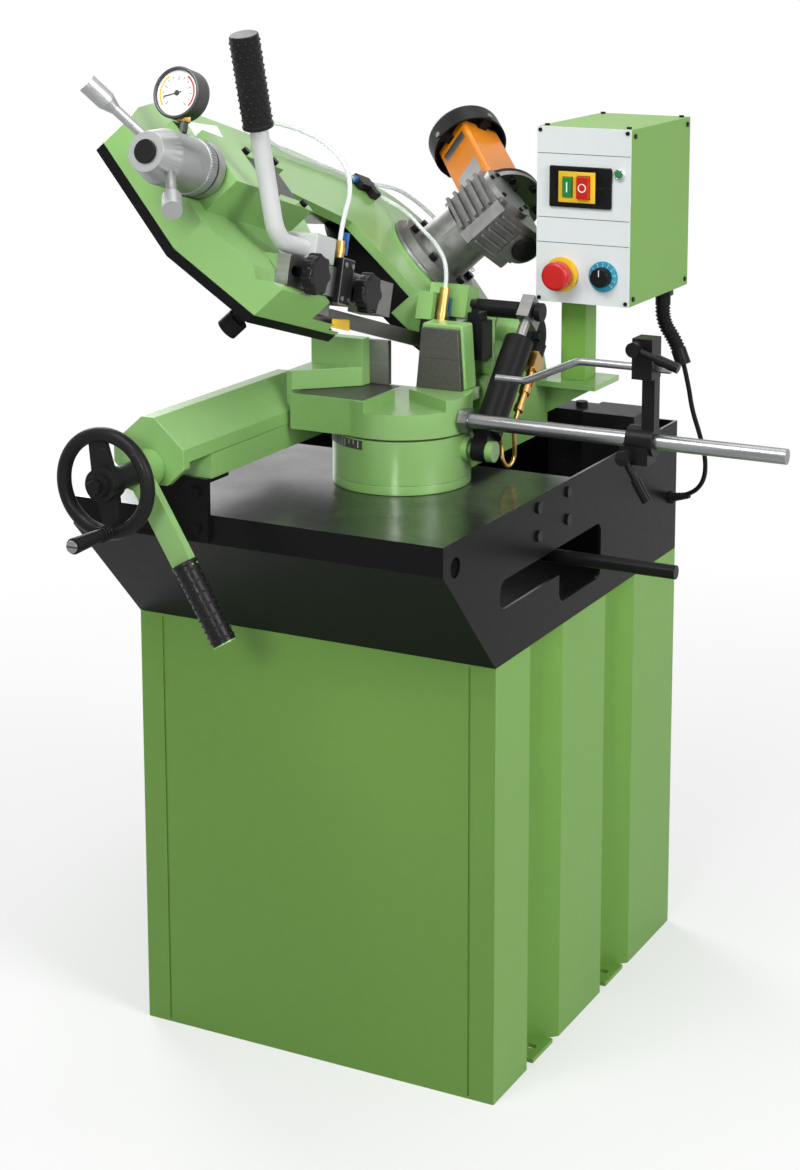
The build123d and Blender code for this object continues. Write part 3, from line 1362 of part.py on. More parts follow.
# Lifting handle and its grip
with BuildPart(blade_plane) as handle_tube:
    with BuildLine(blade_plane) as handle_path:
        FilletPolyline(
            (-lug_rear_s, handle_w, handle_x),
            (-handle_bend_s, handle_w, handle_x),
            (-handle_top_s, handle_top_w, handle_x),
            radius=handle_bend,
        )
    with BuildSketch(handle_path.line ^ 0):
        Circle(handle_radius)
    sweep()
handle_tube.part.label = "handle_tube"
export_step(handle_tube.part, "parts/handle_tube.step")
handle_end = blade_plane.from_local_coords(Vector(-handle_top_s, handle_top_w, handle_x))
handle_dir = handle_end - blade_plane.from_local_coords(Vector(-handle_bend_s, handle_w, handle_x))
grip_plane = Plane(origin=handle_end, x_dir=(1, 0, 0), z_dir=handle_dir.normalized())
with BuildPart(grip_plane) as handle_grip:
    rod("z", (0, 0), grip_radius, -108, 5)
    rod("z", (0, 0), handle_radius, -110, 0, Mode.SUBTRACT)
handle_grip.part.label = "handle_grip"
export_step(handle_grip.part, "parts/handle_grip.step")

# Coolant valves, their handles, and the hoses from the branch fitting
for name, valve_s, valve_x, valve_low, valve_high in (
    ("front_valve", front_valve_s, 21, 70, 92),
    ("rear_valve", rear_valve_s, 14, 30, 76),
):
    with BuildPart(blade_plane) as coolant_valve:
        rod("y", (-valve_s, valve_x), 7, valve_low, valve_high)
        rod("y", (-valve_s, valve_x), 8, valve_low + 6, valve_low + 14)
        rod("x", (valve_low + 10, valve_x), 2 + running_gap, -valve_s + 2, -valve_s + 12, Mode.SUBTRACT)
    coolant_valve.part.label = name
    export_step(coolant_valve.part, "parts/" + name + ".step")
    with BuildPart(blade_plane) as valve_handle:
        rod("x", (valve_low + 10, valve_x), 2, -valve_s + 3, -valve_s + 16)
        block((-valve_s + 12, valve_low + 6, valve_x - 3.5), (-valve_s + 17, valve_low + 34, valve_x + 3.5))
    valve_handle.part.label = name + "_handle"
    export_step(valve_handle.part, "parts/" + name + "_handle" + ".step")
hose_n = cast_front + 6
branch_v = wheel_v + 140.2
with BuildPart(wheel_plane) as coolant_hoses:
    block((-120, branch_v - 14, cast_front), (-78, branch_v + 8, cast_front + 12))
    block((-96, branch_v - 26, cast_front), (-78, branch_v - 10, cast_front + 12))
    for hose_points in (
        (
            (-118, branch_v, hose_n),
            (-200, branch_v + 3, hose_n + 1),
            (-285, branch_v, hose_n),
            (108 - front_valve_s, branch_v + 5, hose_n + 3),
            (38 - front_valve_s, branch_v + 8, 62),
            (16 - front_valve_s, branch_v - 36, 98),
            (26 - front_valve_s, 190, 128),
            (32 - front_valve_s, 140, 136),
            (22 - front_valve_s, 100, 122),
            (-front_valve_s, 70, 99.6),
            (-front_valve_s, 50.4, 80.0),
        ),
        (
            (-80, branch_v - 18, hose_n),
            (-60, branch_v - 36, 46),
            (-80, branch_v - 80, 62),
            (-122, 146, 76),
            (-150, 104, 88),
            (-rear_valve_s, 64, 84),
            (-rear_valve_s, 44.0, 64.0),
        ),
        (
            (-80, branch_v, hose_n),
            (-20, branch_v + 8, 44),
            (40, branch_v, 46),
            (92, branch_v - 32, 44),
            (116, branch_v - 86, 40),
            (118, branch_v - 126, 36),
        ),
    ):
        with BuildLine(wheel_plane) as hose_path:
            FilletPolyline(*hose_points, radius=corner_radii(hose_points, "coolant_hose"))
        with BuildSketch(hose_path.line ^ 0):
            Circle(hose_radius)
        sweep(path=hose_path.line)
coolant_hoses.part.label = "coolant_hoses"
export_step(coolant_hoses.part, "parts/coolant_hoses.step")
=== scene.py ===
# %% [markdown]
# # A metal cutting band saw, dressed for the studio
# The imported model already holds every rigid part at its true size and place. This lesson gives those
# parts rounded edges and finishes, and adds the small pieces that are bolted on last: dials, bolts,
# hoses, grips and teeth. Lengths on the machine are in millimetres and become metres in the helpers. The
# studio is in metres.

# %% Load the frame
import json
import math
import bpy
from mathutils import Matrix, Vector


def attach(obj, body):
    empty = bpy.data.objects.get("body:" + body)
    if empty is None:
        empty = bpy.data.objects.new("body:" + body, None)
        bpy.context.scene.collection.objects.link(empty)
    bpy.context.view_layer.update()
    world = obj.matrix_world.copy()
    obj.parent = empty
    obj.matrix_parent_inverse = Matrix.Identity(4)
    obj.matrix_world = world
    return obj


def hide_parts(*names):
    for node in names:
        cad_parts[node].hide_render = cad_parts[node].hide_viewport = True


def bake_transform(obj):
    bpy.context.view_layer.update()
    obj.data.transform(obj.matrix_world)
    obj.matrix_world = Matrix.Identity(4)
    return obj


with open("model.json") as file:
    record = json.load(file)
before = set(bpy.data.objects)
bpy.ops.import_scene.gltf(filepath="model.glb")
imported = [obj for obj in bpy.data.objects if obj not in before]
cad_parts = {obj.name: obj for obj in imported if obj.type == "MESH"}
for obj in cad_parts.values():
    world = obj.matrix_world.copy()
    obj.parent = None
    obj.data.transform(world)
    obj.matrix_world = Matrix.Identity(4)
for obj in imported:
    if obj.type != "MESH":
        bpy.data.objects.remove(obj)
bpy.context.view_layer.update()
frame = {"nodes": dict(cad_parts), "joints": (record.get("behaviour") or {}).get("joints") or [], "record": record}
MM = 0.001
joints = {joint["name"]: joint for joint in frame["joints"]}
home_of = {node: body for body, nodes in frame["record"]["behaviour"]["bodies"].items() for node in nodes}

# %% [markdown]
# ## Working frames
# On the real saw the bow leans back and its wheels lean sideways, so that long work clears the returning
# band. Pieces on the bow could be placed in world coordinates, but then every number would hide two
# tilts. Each frame below is read from a joint instead: a slide gives a direction, and a hinge gives a
# centre and an axis.

# %% Frames read from the joints
def axes(origin, x_dir, z_dir):
    x_dir, z_dir = Vector(x_dir).normalized(), Vector(z_dir).normalized()
    y_dir = z_dir.cross(x_dir)
    return Matrix.Translation(origin) @ Matrix((x_dir, y_dir, z_dir)).transposed().to_4x4()


ACROSS = Vector((1, 0, 0))
back = Vector(joints["tension_travel"]["axis"])
upright = ACROSS.cross(back)
hinge = Vector(joints["bow_tilt"]["pos_m"])
band_drop = 32 * MM
band_origin = hinge - band_drop * upright
wheel_axis = Vector(joints["drive_spin"]["axis"])
world = Matrix.Identity(4)
bow = axes(band_origin, back, ACROSS)
wheels = axes(band_origin, back, wheel_axis)
cylinder = axes(joints["cylinder_swing"]["pos_m"], ACROSS, joints["piston_slide"]["axis"])
motor = axes(joints["rotor_spin"]["pos_m"], wheel_axis, joints["rotor_spin"]["axis"])
handwheel = axes(joints["handwheel_turn"]["pos_m"], ACROSS, (0, -1, 0))
knob_hub = axes(joints["tension_turn"]["pos_m"], wheels.to_3x3() @ Vector((0, 1, 0)), -back)
print("band origin", [round(value, 4) for value in band_origin])

# %% [markdown]
# ## Modelling helpers
# Most trim on a machine is turned, sawn or folded, so a cylinder, a bar or a drawn outline is a good
# start for it. A mesh could also be written vertex by vertex, but operators show the steps that a hand
# would take. They act on whatever is selected, so each helper clears the selection first. A piece gets
# its place applied, so that its object sits at the origin, and then has its edges broken with a bevel.

# %% Selection, edges and places
SMOOTH, EDGE = math.radians(32), math.radians(35)


def clear():
    bpy.ops.object.select_all(action="DESELECT")


def add(name, data):
    made = bpy.data.objects.new(name, data)
    bpy.context.scene.collection.objects.link(made)
    return made


def only(piece):
    if bpy.context.mode != "OBJECT":
        bpy.ops.object.mode_set(mode="OBJECT")
    clear()
    piece.select_set(True)
    bpy.context.view_layer.objects.active = piece
    return piece


def smooth():
    bpy.ops.object.shade_smooth_by_angle(angle=SMOOTH)


def apply(piece, kind, **settings):
    only(piece)
    modifier = piece.modifiers.new(kind.lower(), kind)
    for key, value in settings.items():
        setattr(modifier, key, value)
    bpy.ops.object.modifier_apply(modifier=modifier.name)


def break_edges(piece, width, segments=2):
    apply(piece, "BEVEL", width=width * MM, segments=segments, limit_method="ANGLE", angle_limit=EDGE)
    smooth()
    apply(piece, "WEIGHTED_NORMAL", keep_sharp=True)
    return piece


def settle(piece, where):
    only(piece)
    piece.matrix_world = where @ piece.matrix_world
    bpy.ops.object.transform_apply(location=True, rotation=True, scale=True)
    return piece


print("edges sharper than", round(math.degrees(EDGE)), "degrees get a bevel")

# %% Bars, rods and rings
def bar(low, high, where=world, edge=0.8, segments=2):
    clear()
    middle = [(a + b) / 2 * MM for a, b in zip(low, high)]
    bpy.ops.mesh.primitive_cube_add(size=1, location=middle, scale=[(b - a) * MM for a, b in zip(low, high)])
    piece = settle(bpy.context.object, where)
    return break_edges(piece, edge, segments) if edge else piece


def rod(axis, at, radius, low, high, where=world, edge=0.6, sides=48):
    clear()
    middle = list(at)
    middle.insert("xyz".index(axis), (low + high) / 2)
    turn = {"x": (0, math.pi / 2, 0), "y": (math.pi / 2, 0, 0), "z": (0, 0, 0)}[axis]
    bpy.ops.mesh.primitive_cylinder_add(
        vertices=sides, radius=radius * MM, depth=(high - low) * MM,
        location=[v * MM for v in middle], rotation=turn,
    )
    piece = settle(bpy.context.object, where)
    return break_edges(piece, edge) if edge else piece


def ring(at, major, minor, where=world, around=64, across=16):
    clear()
    bpy.ops.mesh.primitive_torus_add(
        location=[v * MM for v in at], major_radius=major * MM, minor_radius=minor * MM,
        major_segments=around, minor_segments=across,
    )
    piece = settle(bpy.context.object, where)
    bpy.ops.object.shade_smooth()
    return piece


print("starting shapes:", bar.__name__, rod.__name__, ring.__name__)

# %% Joining pieces and fitting them to a body
def weld(pieces):
    clear()
    for piece in pieces:
        piece.select_set(True)
    bpy.context.view_layer.objects.active = pieces[0]
    if len(pieces) > 1:
        bpy.ops.object.join()
    return bpy.context.view_layer.objects.active


def fit(piece, name, body, finish):
    piece.name = name
    piece.data.name = name
    piece.data.materials.clear()
    piece.data.materials.append(finish)
    piece.data.polygons.foreach_set("material_index", [0] * len(piece.data.polygons))
    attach(piece, body)
    return piece


print("a finished piece is welded by", weld.__name__, "and rides by", fit.__name__)

# %% Cutting and drawn outlines
def shift(x, y, z):
    return Matrix.Translation(Vector((x, y, z)) * MM)


def cut(piece, tools):
    for tool in tools:
        apply(piece, "BOOLEAN", operation="DIFFERENCE", solver="EXACT", object=tool)
        bpy.data.objects.remove(tool, do_unlink=True)
    return piece


def slab(points, low, high, where=world, edge=0.6):
    clear()
    bpy.ops.mesh.primitive_circle_add(vertices=len(points), radius=1, fill_type="NGON")
    piece = bpy.context.object
    for vertex, (x, y) in zip(piece.data.vertices, points):
        vertex.co = Vector((x, y, low)) * MM
    bpy.ops.object.mode_set(mode="EDIT")
    bpy.ops.mesh.select_all(action="SELECT")
    bpy.ops.mesh.extrude_region_move(TRANSFORM_OT_translate={"value": (0, 0, (high - low) * MM)})
    bpy.ops.mesh.select_all(action="SELECT")
    bpy.ops.mesh.normals_make_consistent(inside=False)
    settle(piece, where)
    return break_edges(piece, edge) if edge else piece


def arc_band(inner, outer, low, high, start, end, where=world):
    clear()
    bpy.ops.mesh.primitive_plane_add(size=1)
    piece = bpy.context.object
    turn = math.radians(start)
    corners = ((inner, low), (outer, low), (inner, high), (outer, high))
    for vertex, (radius, z) in zip(piece.data.vertices, corners):
        vertex.co = Vector((radius * math.cos(turn), radius * math.sin(turn), z)) * MM
    bpy.ops.object.mode_set(mode="EDIT")
    bpy.ops.mesh.select_all(action="SELECT")
    bpy.ops.mesh.spin(steps=36, angle=math.radians(end - start), center=(0, 0, 0), axis=(0, 0, -1))
    bpy.ops.mesh.select_all(action="SELECT")
    bpy.ops.mesh.normals_make_consistent(inside=False)
    settle(piece, where)
    smooth()
    return piece


print("outlines:", slab.__name__, arc_band.__name__)

# %% Cones, letters and copies
def taper(wide, narrow, low, high, where):
    clear()
    bpy.ops.mesh.primitive_cone_add(
        vertices=32, radius1=wide * MM, radius2=narrow * MM, depth=(high - low) * MM,
        location=(0, 0, (low + high) / 2 * MM),
    )
    piece = settle(bpy.context.object, where)
    smooth()
    return piece


def word(text, size, where, depth):
    clear()
    bpy.ops.object.text_add()
    letters = bpy.context.object
    letters.data.body = text
    letters.data.size = size * MM
    letters.data.extrude = depth * MM
    letters.data.align_x, letters.data.align_y = "CENTER", "CENTER"
    bpy.ops.object.convert(target="MESH")
    return settle(bpy.context.object, where)


def at(where, point, direction, radius, height):
    direction = Vector(direction)
    place = axes(Vector(point) * MM, direction.orthogonal(), direction)
    return where @ place @ Matrix.Diagonal((radius * MM, radius * MM, height * MM, 1))


def copies(master, places):
    made = []
    for place in places:
        twin = add("copy", master.data.copy())
        twin.data.transform(place)
        made.append(twin)
    return weld(made)


def circle(radius, count, first=0):
    turns = [math.radians(360 / count * n + first) for n in range(count)]
    return [Vector((radius * math.cos(turn), radius * math.sin(turn), 0)) for turn in turns]


print("copies stand on a circle such as", [tuple(round(v, 1) for v in spot) for spot in circle(10, 3)])

# %% A screw head and a grip dot to copy
bpy.ops.mesh.primitive_cylinder_add(vertices=24, radius=1, depth=1, location=(0, 0, 0.5))
screw = settle(bpy.context.object, world)
for face in screw.data.polygons:
    face.select = face.normal.z > 0.9
bpy.ops.object.mode_set(mode="EDIT")
bpy.ops.mesh.select_mode(type="FACE")
bpy.ops.mesh.inset(thickness=0.12)
bpy.ops.transform.translate(value=(0, 0, 0.12))
bpy.ops.mesh.inset(thickness=0.34)
bpy.ops.mesh.extrude_region_move(TRANSFORM_OT_translate={"value": (0, 0, -0.6)})
only(screw)
smooth()
bpy.ops.mesh.primitive_uv_sphere_add(segments=10, ring_count=6, radius=1)
dot = only(bpy.context.object)
bpy.ops.object.shade_smooth()
print("masters", len(screw.data.polygons), len(dot.data.polygons))

# %% [markdown]
# ## Shared surface effects
# Castings, sheets and plastics share a few marks: a skin that is never quite flat, long grain left by a
# tool, dust on what faces up, scuffs from handling, and a thin film of oil in the tray. Pictures could
# show them, but noise needs no unwrapping and has no seams. Each effect is one node group with its own
# inputs, so a change to it reaches every material, and each material still sets its own values.

# %% Building an effect
def effect(name, scale, outputs):
    tree = bpy.data.node_groups.new(name, "ShaderNodeTree")
    tree.interface.new_socket(name="Vector", in_out="INPUT", socket_type="NodeSocketVector")
    size = tree.interface.new_socket(name="Scale", in_out="INPUT", socket_type="NodeSocketFloat")
    size.default_value = scale
    for label in outputs:
        tree.interface.new_socket(name=label, in_out="OUTPUT", socket_type="NodeSocketFloat")
    source, result = tree.nodes.new("NodeGroupInput"), tree.nodes.new("NodeGroupOutput")
    return tree, source.outputs["Vector"], source.outputs["Scale"], result.inputs


def node(tree, kind, values=None, **settings):
    made = tree.nodes.new(kind)
    for key, value in settings.items():
        setattr(made, key, value)
    for key, value in (values or {}).items():
        made.inputs[key].default_value = value
    return made


def wire(tree, *links):
    for start, end in links:
        tree.links.new(start, end)


def facing_up(tree, low, high):
    facing = node(tree, "ShaderNodeNewGeometry")
    split = node(tree, "ShaderNodeSeparateXYZ")
    level = node(tree, "ShaderNodeMapRange", {"From Min": low, "From Max": high})
    wire(tree, (facing.outputs["Normal"], split.inputs[0]), (split.outputs["Z"], level.inputs["Value"]))
    return level.outputs[0]


print("every effect takes Vector and Scale")

# %% Uneven skin
skin, vector, scale, result = effect("uneven skin", 300.0, ["Height", "Mottle"])
fine = node(skin, "ShaderNodeTexNoise", {"Detail": 2.0, "Roughness": 0.45})
cells = node(skin, "ShaderNodeTexVoronoi", {"Smoothness": 1.0}, feature="SMOOTH_F1")
coarse_scale = node(skin, "ShaderNodeMath", {1: 0.06}, operation="MULTIPLY")
coarse = node(skin, "ShaderNodeTexNoise", {"Detail": 4.0})
heights = node(skin, "ShaderNodeMath", {1: 0.5}, operation="MULTIPLY_ADD")
wire(skin, *[(vector, texture.inputs["Vector"]) for texture in (fine, cells, coarse)])
wire(skin, (scale, fine.inputs["Scale"]), (scale, cells.inputs["Scale"]), (scale, coarse_scale.inputs[0]))
wire(skin, (coarse_scale.outputs[0], coarse.inputs["Scale"]), (cells.outputs["Distance"], heights.inputs[0]))
wire(skin, (fine.outputs["Fac"], heights.inputs[2]), (heights.outputs[0], result["Height"]))
wire(skin, (coarse.outputs["Fac"], result["Mottle"]))
print(skin.name, len(skin.nodes), "nodes")

# %% Tool grain
grain, vector, scale, result = effect("tool grain", 60.0, ["Height", "Streak"])
lines = node(grain, "ShaderNodeTexNoise", {"Detail": 3.0, "Roughness": 0.6})
sweep = node(grain, "ShaderNodeTexNoise", {"Detail": 1.0})
sweep_scale = node(grain, "ShaderNodeMath", {1: 0.2}, operation="MULTIPLY")
wire(grain, (vector, lines.inputs["Vector"]), (vector, sweep.inputs["Vector"]))
wire(grain, (scale, lines.inputs["Scale"]), (scale, sweep_scale.inputs[0]))
wire(grain, (sweep_scale.outputs[0], sweep.inputs["Scale"]))
wire(grain, (lines.outputs["Fac"], result["Height"]), (sweep.outputs["Fac"], result["Streak"]))
print(grain.name, len(grain.nodes), "nodes")

# %% Settled dust
dust, vector, scale, result = effect("settled dust", 40.0, ["Mask"])
patches = node(dust, "ShaderNodeTexNoise", {"Detail": 6.0, "Roughness": 0.65})
patchy = node(dust, "ShaderNodeMapRange", {"From Min": 0.38, "From Max": 0.72})
both = node(dust, "ShaderNodeMath", operation="MULTIPLY")
wire(dust, (vector, patches.inputs["Vector"]), (scale, patches.inputs["Scale"]))
wire(dust, (patches.outputs["Fac"], patchy.inputs["Value"]), (facing_up(dust, 0.35, 0.95), both.inputs[0]))
wire(dust, (patchy.outputs[0], both.inputs[1]), (both.outputs[0], result["Mask"]))
print(dust.name, len(dust.nodes), "nodes")

# %% Handling scuffs
scuffs, vector, scale, result = effect("handling scuffs", 30.0, ["Mask"])
stretch = node(scuffs, "ShaderNodeMapping", {"Rotation": (0.5, 0.3, 0.9), "Scale": (1.0, 9.0, 4.0)})
marks = node(scuffs, "ShaderNodeTexNoise", {"Detail": 5.0, "Roughness": 0.7})
sparse = node(scuffs, "ShaderNodeMapRange", {"From Min": 0.62, "From Max": 0.74})
wire(scuffs, (vector, stretch.inputs["Vector"]), (stretch.outputs[0], marks.inputs["Vector"]))
wire(scuffs, (scale, marks.inputs["Scale"]), (marks.outputs["Fac"], sparse.inputs["Value"]))
wire(scuffs, (sparse.outputs[0], result["Mask"]))
print(scuffs.name, len(scuffs.nodes), "nodes")

# %% Thin oil film
film, vector, scale, result = effect("thin oil film", 8.0, ["Mask"])
drift = node(film, "ShaderNodeTexNoise", {"Detail": 3.0})
even = node(film, "ShaderNodeMapRange", {"From Min": 0.25, "From Max": 0.6, "To Min": 0.55, "To Max": 1.0})
both = node(film, "ShaderNodeMath", operation="MULTIPLY")
wire(film, (vector, drift.inputs["Vector"]), (scale, drift.inputs["Scale"]))
wire(film, (drift.outputs["Fac"], even.inputs["Value"]), (facing_up(film, 0.8, 0.98), both.inputs[0]))
wire(film, (even.outputs[0], both.inputs[1]), (both.outputs[0], result["Mask"]))
print(film.name, len(film.nodes), "nodes")

# %% [markdown]
# ## Finishes
# The saw has enamelled castings, powder-coated sheet, bare machined metal, black plastic and rubber. Each
# could have a node tree of its own, but within a family they differ only in numbers. So `paint` serves
# enamel and powder coat, `metal` serves bare parts, and `moulded` serves plastic and rubber. Each starts
# from one Principled shader and reads Object coordinates, which stay with a piece when its body moves.

# %% Blank materials and layers
def blank(name, colour, roughness, metallic=0.0):
    material = bpy.data.materials.new(name)
    material.use_nodes = True
    tree = material.node_tree
    shader = tree.nodes["Principled BSDF"]
    shader.inputs["Base Color"].default_value = (*colour, 1)
    shader.inputs["Roughness"].default_value = roughness
    shader.inputs["Metallic"].default_value = metallic
    coords = tree.nodes.new("ShaderNodeTexCoord")
    return material, tree, shader, coords.outputs["Object"]


def use(tree, group, vector, scale):
    placed = tree.nodes.new("ShaderNodeGroup")
    placed.node_tree = group
    placed.inputs["Scale"].default_value = scale
    tree.links.new(vector, placed.inputs["Vector"])
    return placed


def tint(tree, mask, under, over, most):
    amount = node(tree, "ShaderNodeMath", {1: most}, operation="MULTIPLY")
    mixed = node(tree, "ShaderNodeMix", data_type="RGBA")
    tree.links.new(mask, amount.inputs[0])
    tree.links.new(amount.outputs[0], mixed.inputs["Factor"])
    for value, socket in ((under, mixed.inputs["A"]), (over, mixed.inputs["B"])):
        if isinstance(value, tuple):
            socket.default_value = (*value, 1)
        else:
            tree.links.new(value, socket)
    return mixed.outputs["Result"]


def roughen(tree, shader, mask, low, high):
    spread = node(tree, "ShaderNodeMapRange", {"To Min": low, "To Max": high})
    tree.links.new(mask, spread.inputs["Value"])
    tree.links.new(spread.outputs[0], shader.inputs["Roughness"])


def emboss(tree, shader, height, strength, depth):
    bump = node(tree, "ShaderNodeBump", {"Strength": strength, "Distance": depth * MM})
    tree.links.new(height, bump.inputs["Height"])
    tree.links.new(bump.outputs["Normal"], shader.inputs["Normal"])


print("layers:", tint.__name__, roughen.__name__, emboss.__name__)

# %% Paint, metal and moulded plastic
def paint(
    name, colour, roughness, skin_scale, skin_depth,
    dusty=0.2, worn=0.0, coat=0.0, sheen=0.5, cloud=0.8, oily=False,
):
    material, tree, shader, where = blank(name, colour, roughness)
    uneven = use(tree, skin, where, skin_scale)
    deep = tuple(cloud * channel for channel in colour)
    shade = tint(tree, uneven.outputs["Mottle"], deep, colour, 1.0)
    settled = use(tree, dust, where, 22)
    shade = tint(tree, settled.outputs["Mask"], shade, (0.55, 0.55, 0.50), dusty)
    if worn:
        rubbed = use(tree, scuffs, where, 9)
        shade = tint(tree, rubbed.outputs["Mask"], shade, tuple(0.5 * c + 0.12 for c in colour), worn)
    tree.links.new(shade, shader.inputs["Base Color"])
    roughen(tree, shader, uneven.outputs["Mottle"], roughness - 0.07, roughness + 0.09)
    emboss(tree, shader, uneven.outputs["Height"], 0.35, skin_depth)
    shader.inputs["Coat Weight"].default_value = coat
    shader.inputs["Coat Roughness"].default_value = 0.2 if oily else 0.12
    if oily:
        tree.links.new(use(tree, film, where, 8).outputs["Mask"], shader.inputs["Coat Weight"])
    shader.inputs["Specular IOR Level"].default_value = sheen
    return material


def metal(name, colour, roughness, along, grain_scale, grain_depth, dark=0.7):
    material, tree, shader, where = blank(name, colour, roughness, 1.0)
    turned = node(tree, "ShaderNodeMapping", {"Scale": along})
    tree.links.new(where, turned.inputs["Vector"])
    tooled = use(tree, grain, turned.outputs[0], grain_scale)
    deep = tuple(dark * channel for channel in colour)
    shade = tint(tree, tooled.outputs["Streak"], deep, colour, 1.0)
    stained = use(tree, scuffs, where, 14)
    shade = tint(tree, stained.outputs["Mask"], shade, tuple(0.45 * c for c in colour), 0.35)
    tree.links.new(shade, shader.inputs["Base Color"])
    roughen(tree, shader, tooled.outputs["Height"], roughness - 0.08, roughness + 0.12)
    emboss(tree, shader, tooled.outputs["Height"], 0.25, grain_depth)
    return material


def moulded(name, colour, roughness, skin_scale, skin_depth, dusty=0.15, sheen=0.4):
    material, tree, shader, where = blank(name, colour, roughness)
    uneven = use(tree, skin, where, skin_scale)
    settled = use(tree, dust, where, 30)
    shade = tint(tree, uneven.outputs["Mottle"], tuple(0.8 * c for c in colour), colour, 1.0)
    shade = tint(tree, settled.outputs["Mask"], shade, (0.45, 0.44, 0.42), dusty)
    rubbed = use(tree, scuffs, where, 16)
    shade = tint(tree, rubbed.outputs["Mask"], shade, tuple(0.8 * c + 0.05 for c in colour), 0.4)
    tree.links.new(shade, shader.inputs["Base Color"])
    roughen(tree, shader, uneven.outputs["Mottle"], roughness - 0.06, roughness + 0.08)
    emboss(tree, shader, uneven.outputs["Height"], 0.3, skin_depth)
    shader.inputs["Specular IOR Level"].default_value = sheen
    return material


print("builders:", paint.__name__, metal.__name__, moulded.__name__)

# %% Paints
GREEN = (0.195, 0.375, 0.112)
COAL_AND_SHADE = (0.006, 0.006, 0.0065)
green_casting = paint(
    "green casting enamel", GREEN, 0.30, 190, 0.55, dusty=0.08, worn=0.25, coat=0.3, sheen=0.4
)
green_sheet = paint(
    "green powder coat", (0.152, 0.322, 0.056), 0.42, 900, 0.06, dusty=0.03, sheen=0.3, cloud=0.92
)
black_coat_and_shade = paint("black powder coat and painted shade", COAL_AND_SHADE, 0.30, 1100, 0.10, dusty=0.01, worn=0.04, sheen=0.05, oily=True)
grey_coat = paint(
    "light grey panel coat", (0.61, 0.64, 0.65), 0.42, 1500, 0.03, dusty=0.03, sheen=0.3, cloud=0.95
)
orange_enamel = paint(
    "orange motor enamel", (0.74, 0.225, 0.006), 0.32, 500, 0.08, dusty=0.06, coat=0.15, sheen=0.3
)
handle_grey = paint("grey handle enamel", (0.50, 0.51, 0.51), 0.38, 420, 0.12, dusty=0.06, worn=0.2)
rough_grey = paint("grey cast enamel", (0.44, 0.45, 0.45), 0.5, 260, 0.5, dusty=0.15, worn=0.2)
yellow_paint = paint("yellow enamel", (0.78, 0.47, 0.015), 0.4, 500, 0.08, dusty=0.15, worn=0.5)
black_oxide = paint(
    "black oxide steel", (0.008, 0.008, 0.0085), 0.32, 520, 0.12, dusty=0.015, worn=0.1, sheen=0.09
)
print("paints", len(bpy.data.materials))

# %% Metals
machined_steel = metal("machined steel", (0.27, 0.268, 0.26), 0.36, (1, 1, 40), 26, 0.04)
plate_steel = metal("dark ground steel", (0.125, 0.123, 0.112), 0.44, (30, 1, 30), 30, 0.03)
zinc_rod = metal("zinc plated rod", (0.33, 0.335, 0.34), 0.28, (1, 12, 12), 60, 0.03, dark=0.45)
band_steel = metal("band steel", (0.17, 0.165, 0.15), 0.38, (40, 1, 6), 40, 0.02)
turned_aluminium = metal("turned aluminium", (0.37, 0.375, 0.375), 0.40, (6, 6, 6), 70, 0.03, dark=0.86)
cast_aluminium = metal("die cast aluminium", (0.24, 0.24, 0.235), 0.44, (3, 3, 3), 130, 0.20, dark=0.55)
bright_chrome = metal("polished chrome", (0.46, 0.46, 0.46), 0.14, (1, 1, 1), 20, 0.0, dark=0.85)
dark_iron_and_shade = metal("turned cast iron and painted shade", (0.10, 0.10, 0.10), 0.40, (8, 8, 8), 60, 0.05)
yellow_brass = metal("turned brass", (0.50, 0.32, 0.105), 0.30, (5, 5, 5), 60, 0.03, dark=0.75)
print("paints and metals", len(bpy.data.materials))

# %% Plastics and the clear hose
PITCH_BLACK = (0.010, 0.010, 0.0105)
black_plastic = moulded("black moulded plastic", PITCH_BLACK, 0.36, 900, 0.08, dusty=0.015, sheen=0.09)
gloss_black = moulded("gloss black knob", COAL_AND_SHADE, 0.20, 400, 0.04, dusty=0.01, sheen=0.12)
grip_rubber = moulded("black vinyl grip", (0.008, 0.008, 0.008), 0.30, 700, 0.08, dusty=0.02, sheen=0.14)
cable_rubber = moulded("black cable sheath", PITCH_BLACK, 0.42, 600, 0.05, dusty=0.015, sheen=0.09)
red_plastic = moulded("red push button", (0.50, 0.012, 0.010), 0.24, 500, 0.02, dusty=0.03)
green_plastic = moulded("green push button", (0.012, 0.20, 0.045), 0.26, 500, 0.02, dusty=0.03)
yellow_plastic = moulded("yellow switch frame", (0.75, 0.46, 0.02), 0.34, 500, 0.03, dusty=0.04)
blue_plastic = moulded("blue lever plastic", (0.012, 0.10, 0.33), 0.32, 500, 0.03, dusty=0.05)
dial_blue = moulded("blue dial ring", (0.015, 0.27, 0.40), 0.36, 600, 0.02, dusty=0.03)
white_mark = moulded("white marking", (0.78, 0.78, 0.76), 0.42, 700, 0.01, dusty=0.02)
ink_and_shade = moulded("dark marking and painted shade", (0.03, 0.03, 0.03), 0.5, 700, 0.01, dusty=0.02)


def clear_tube():
    material, tree, shader, where = blank("clear hose", (0.80, 0.83, 0.84), 0.16)
    uneven = use(tree, skin, where, 160)
    haze = tint(tree, uneven.outputs["Mottle"], (0.66, 0.70, 0.70), (0.86, 0.88, 0.88), 1.0)
    tree.links.new(haze, shader.inputs["Base Color"])
    roughen(tree, shader, uneven.outputs["Mottle"], 0.10, 0.26)
    shader.inputs["Transmission Weight"].default_value = 0.55
    shader.inputs["IOR"].default_value = 1.4
    return material


clear_hose = clear_tube()
print("finishes", len(bpy.data.materials))

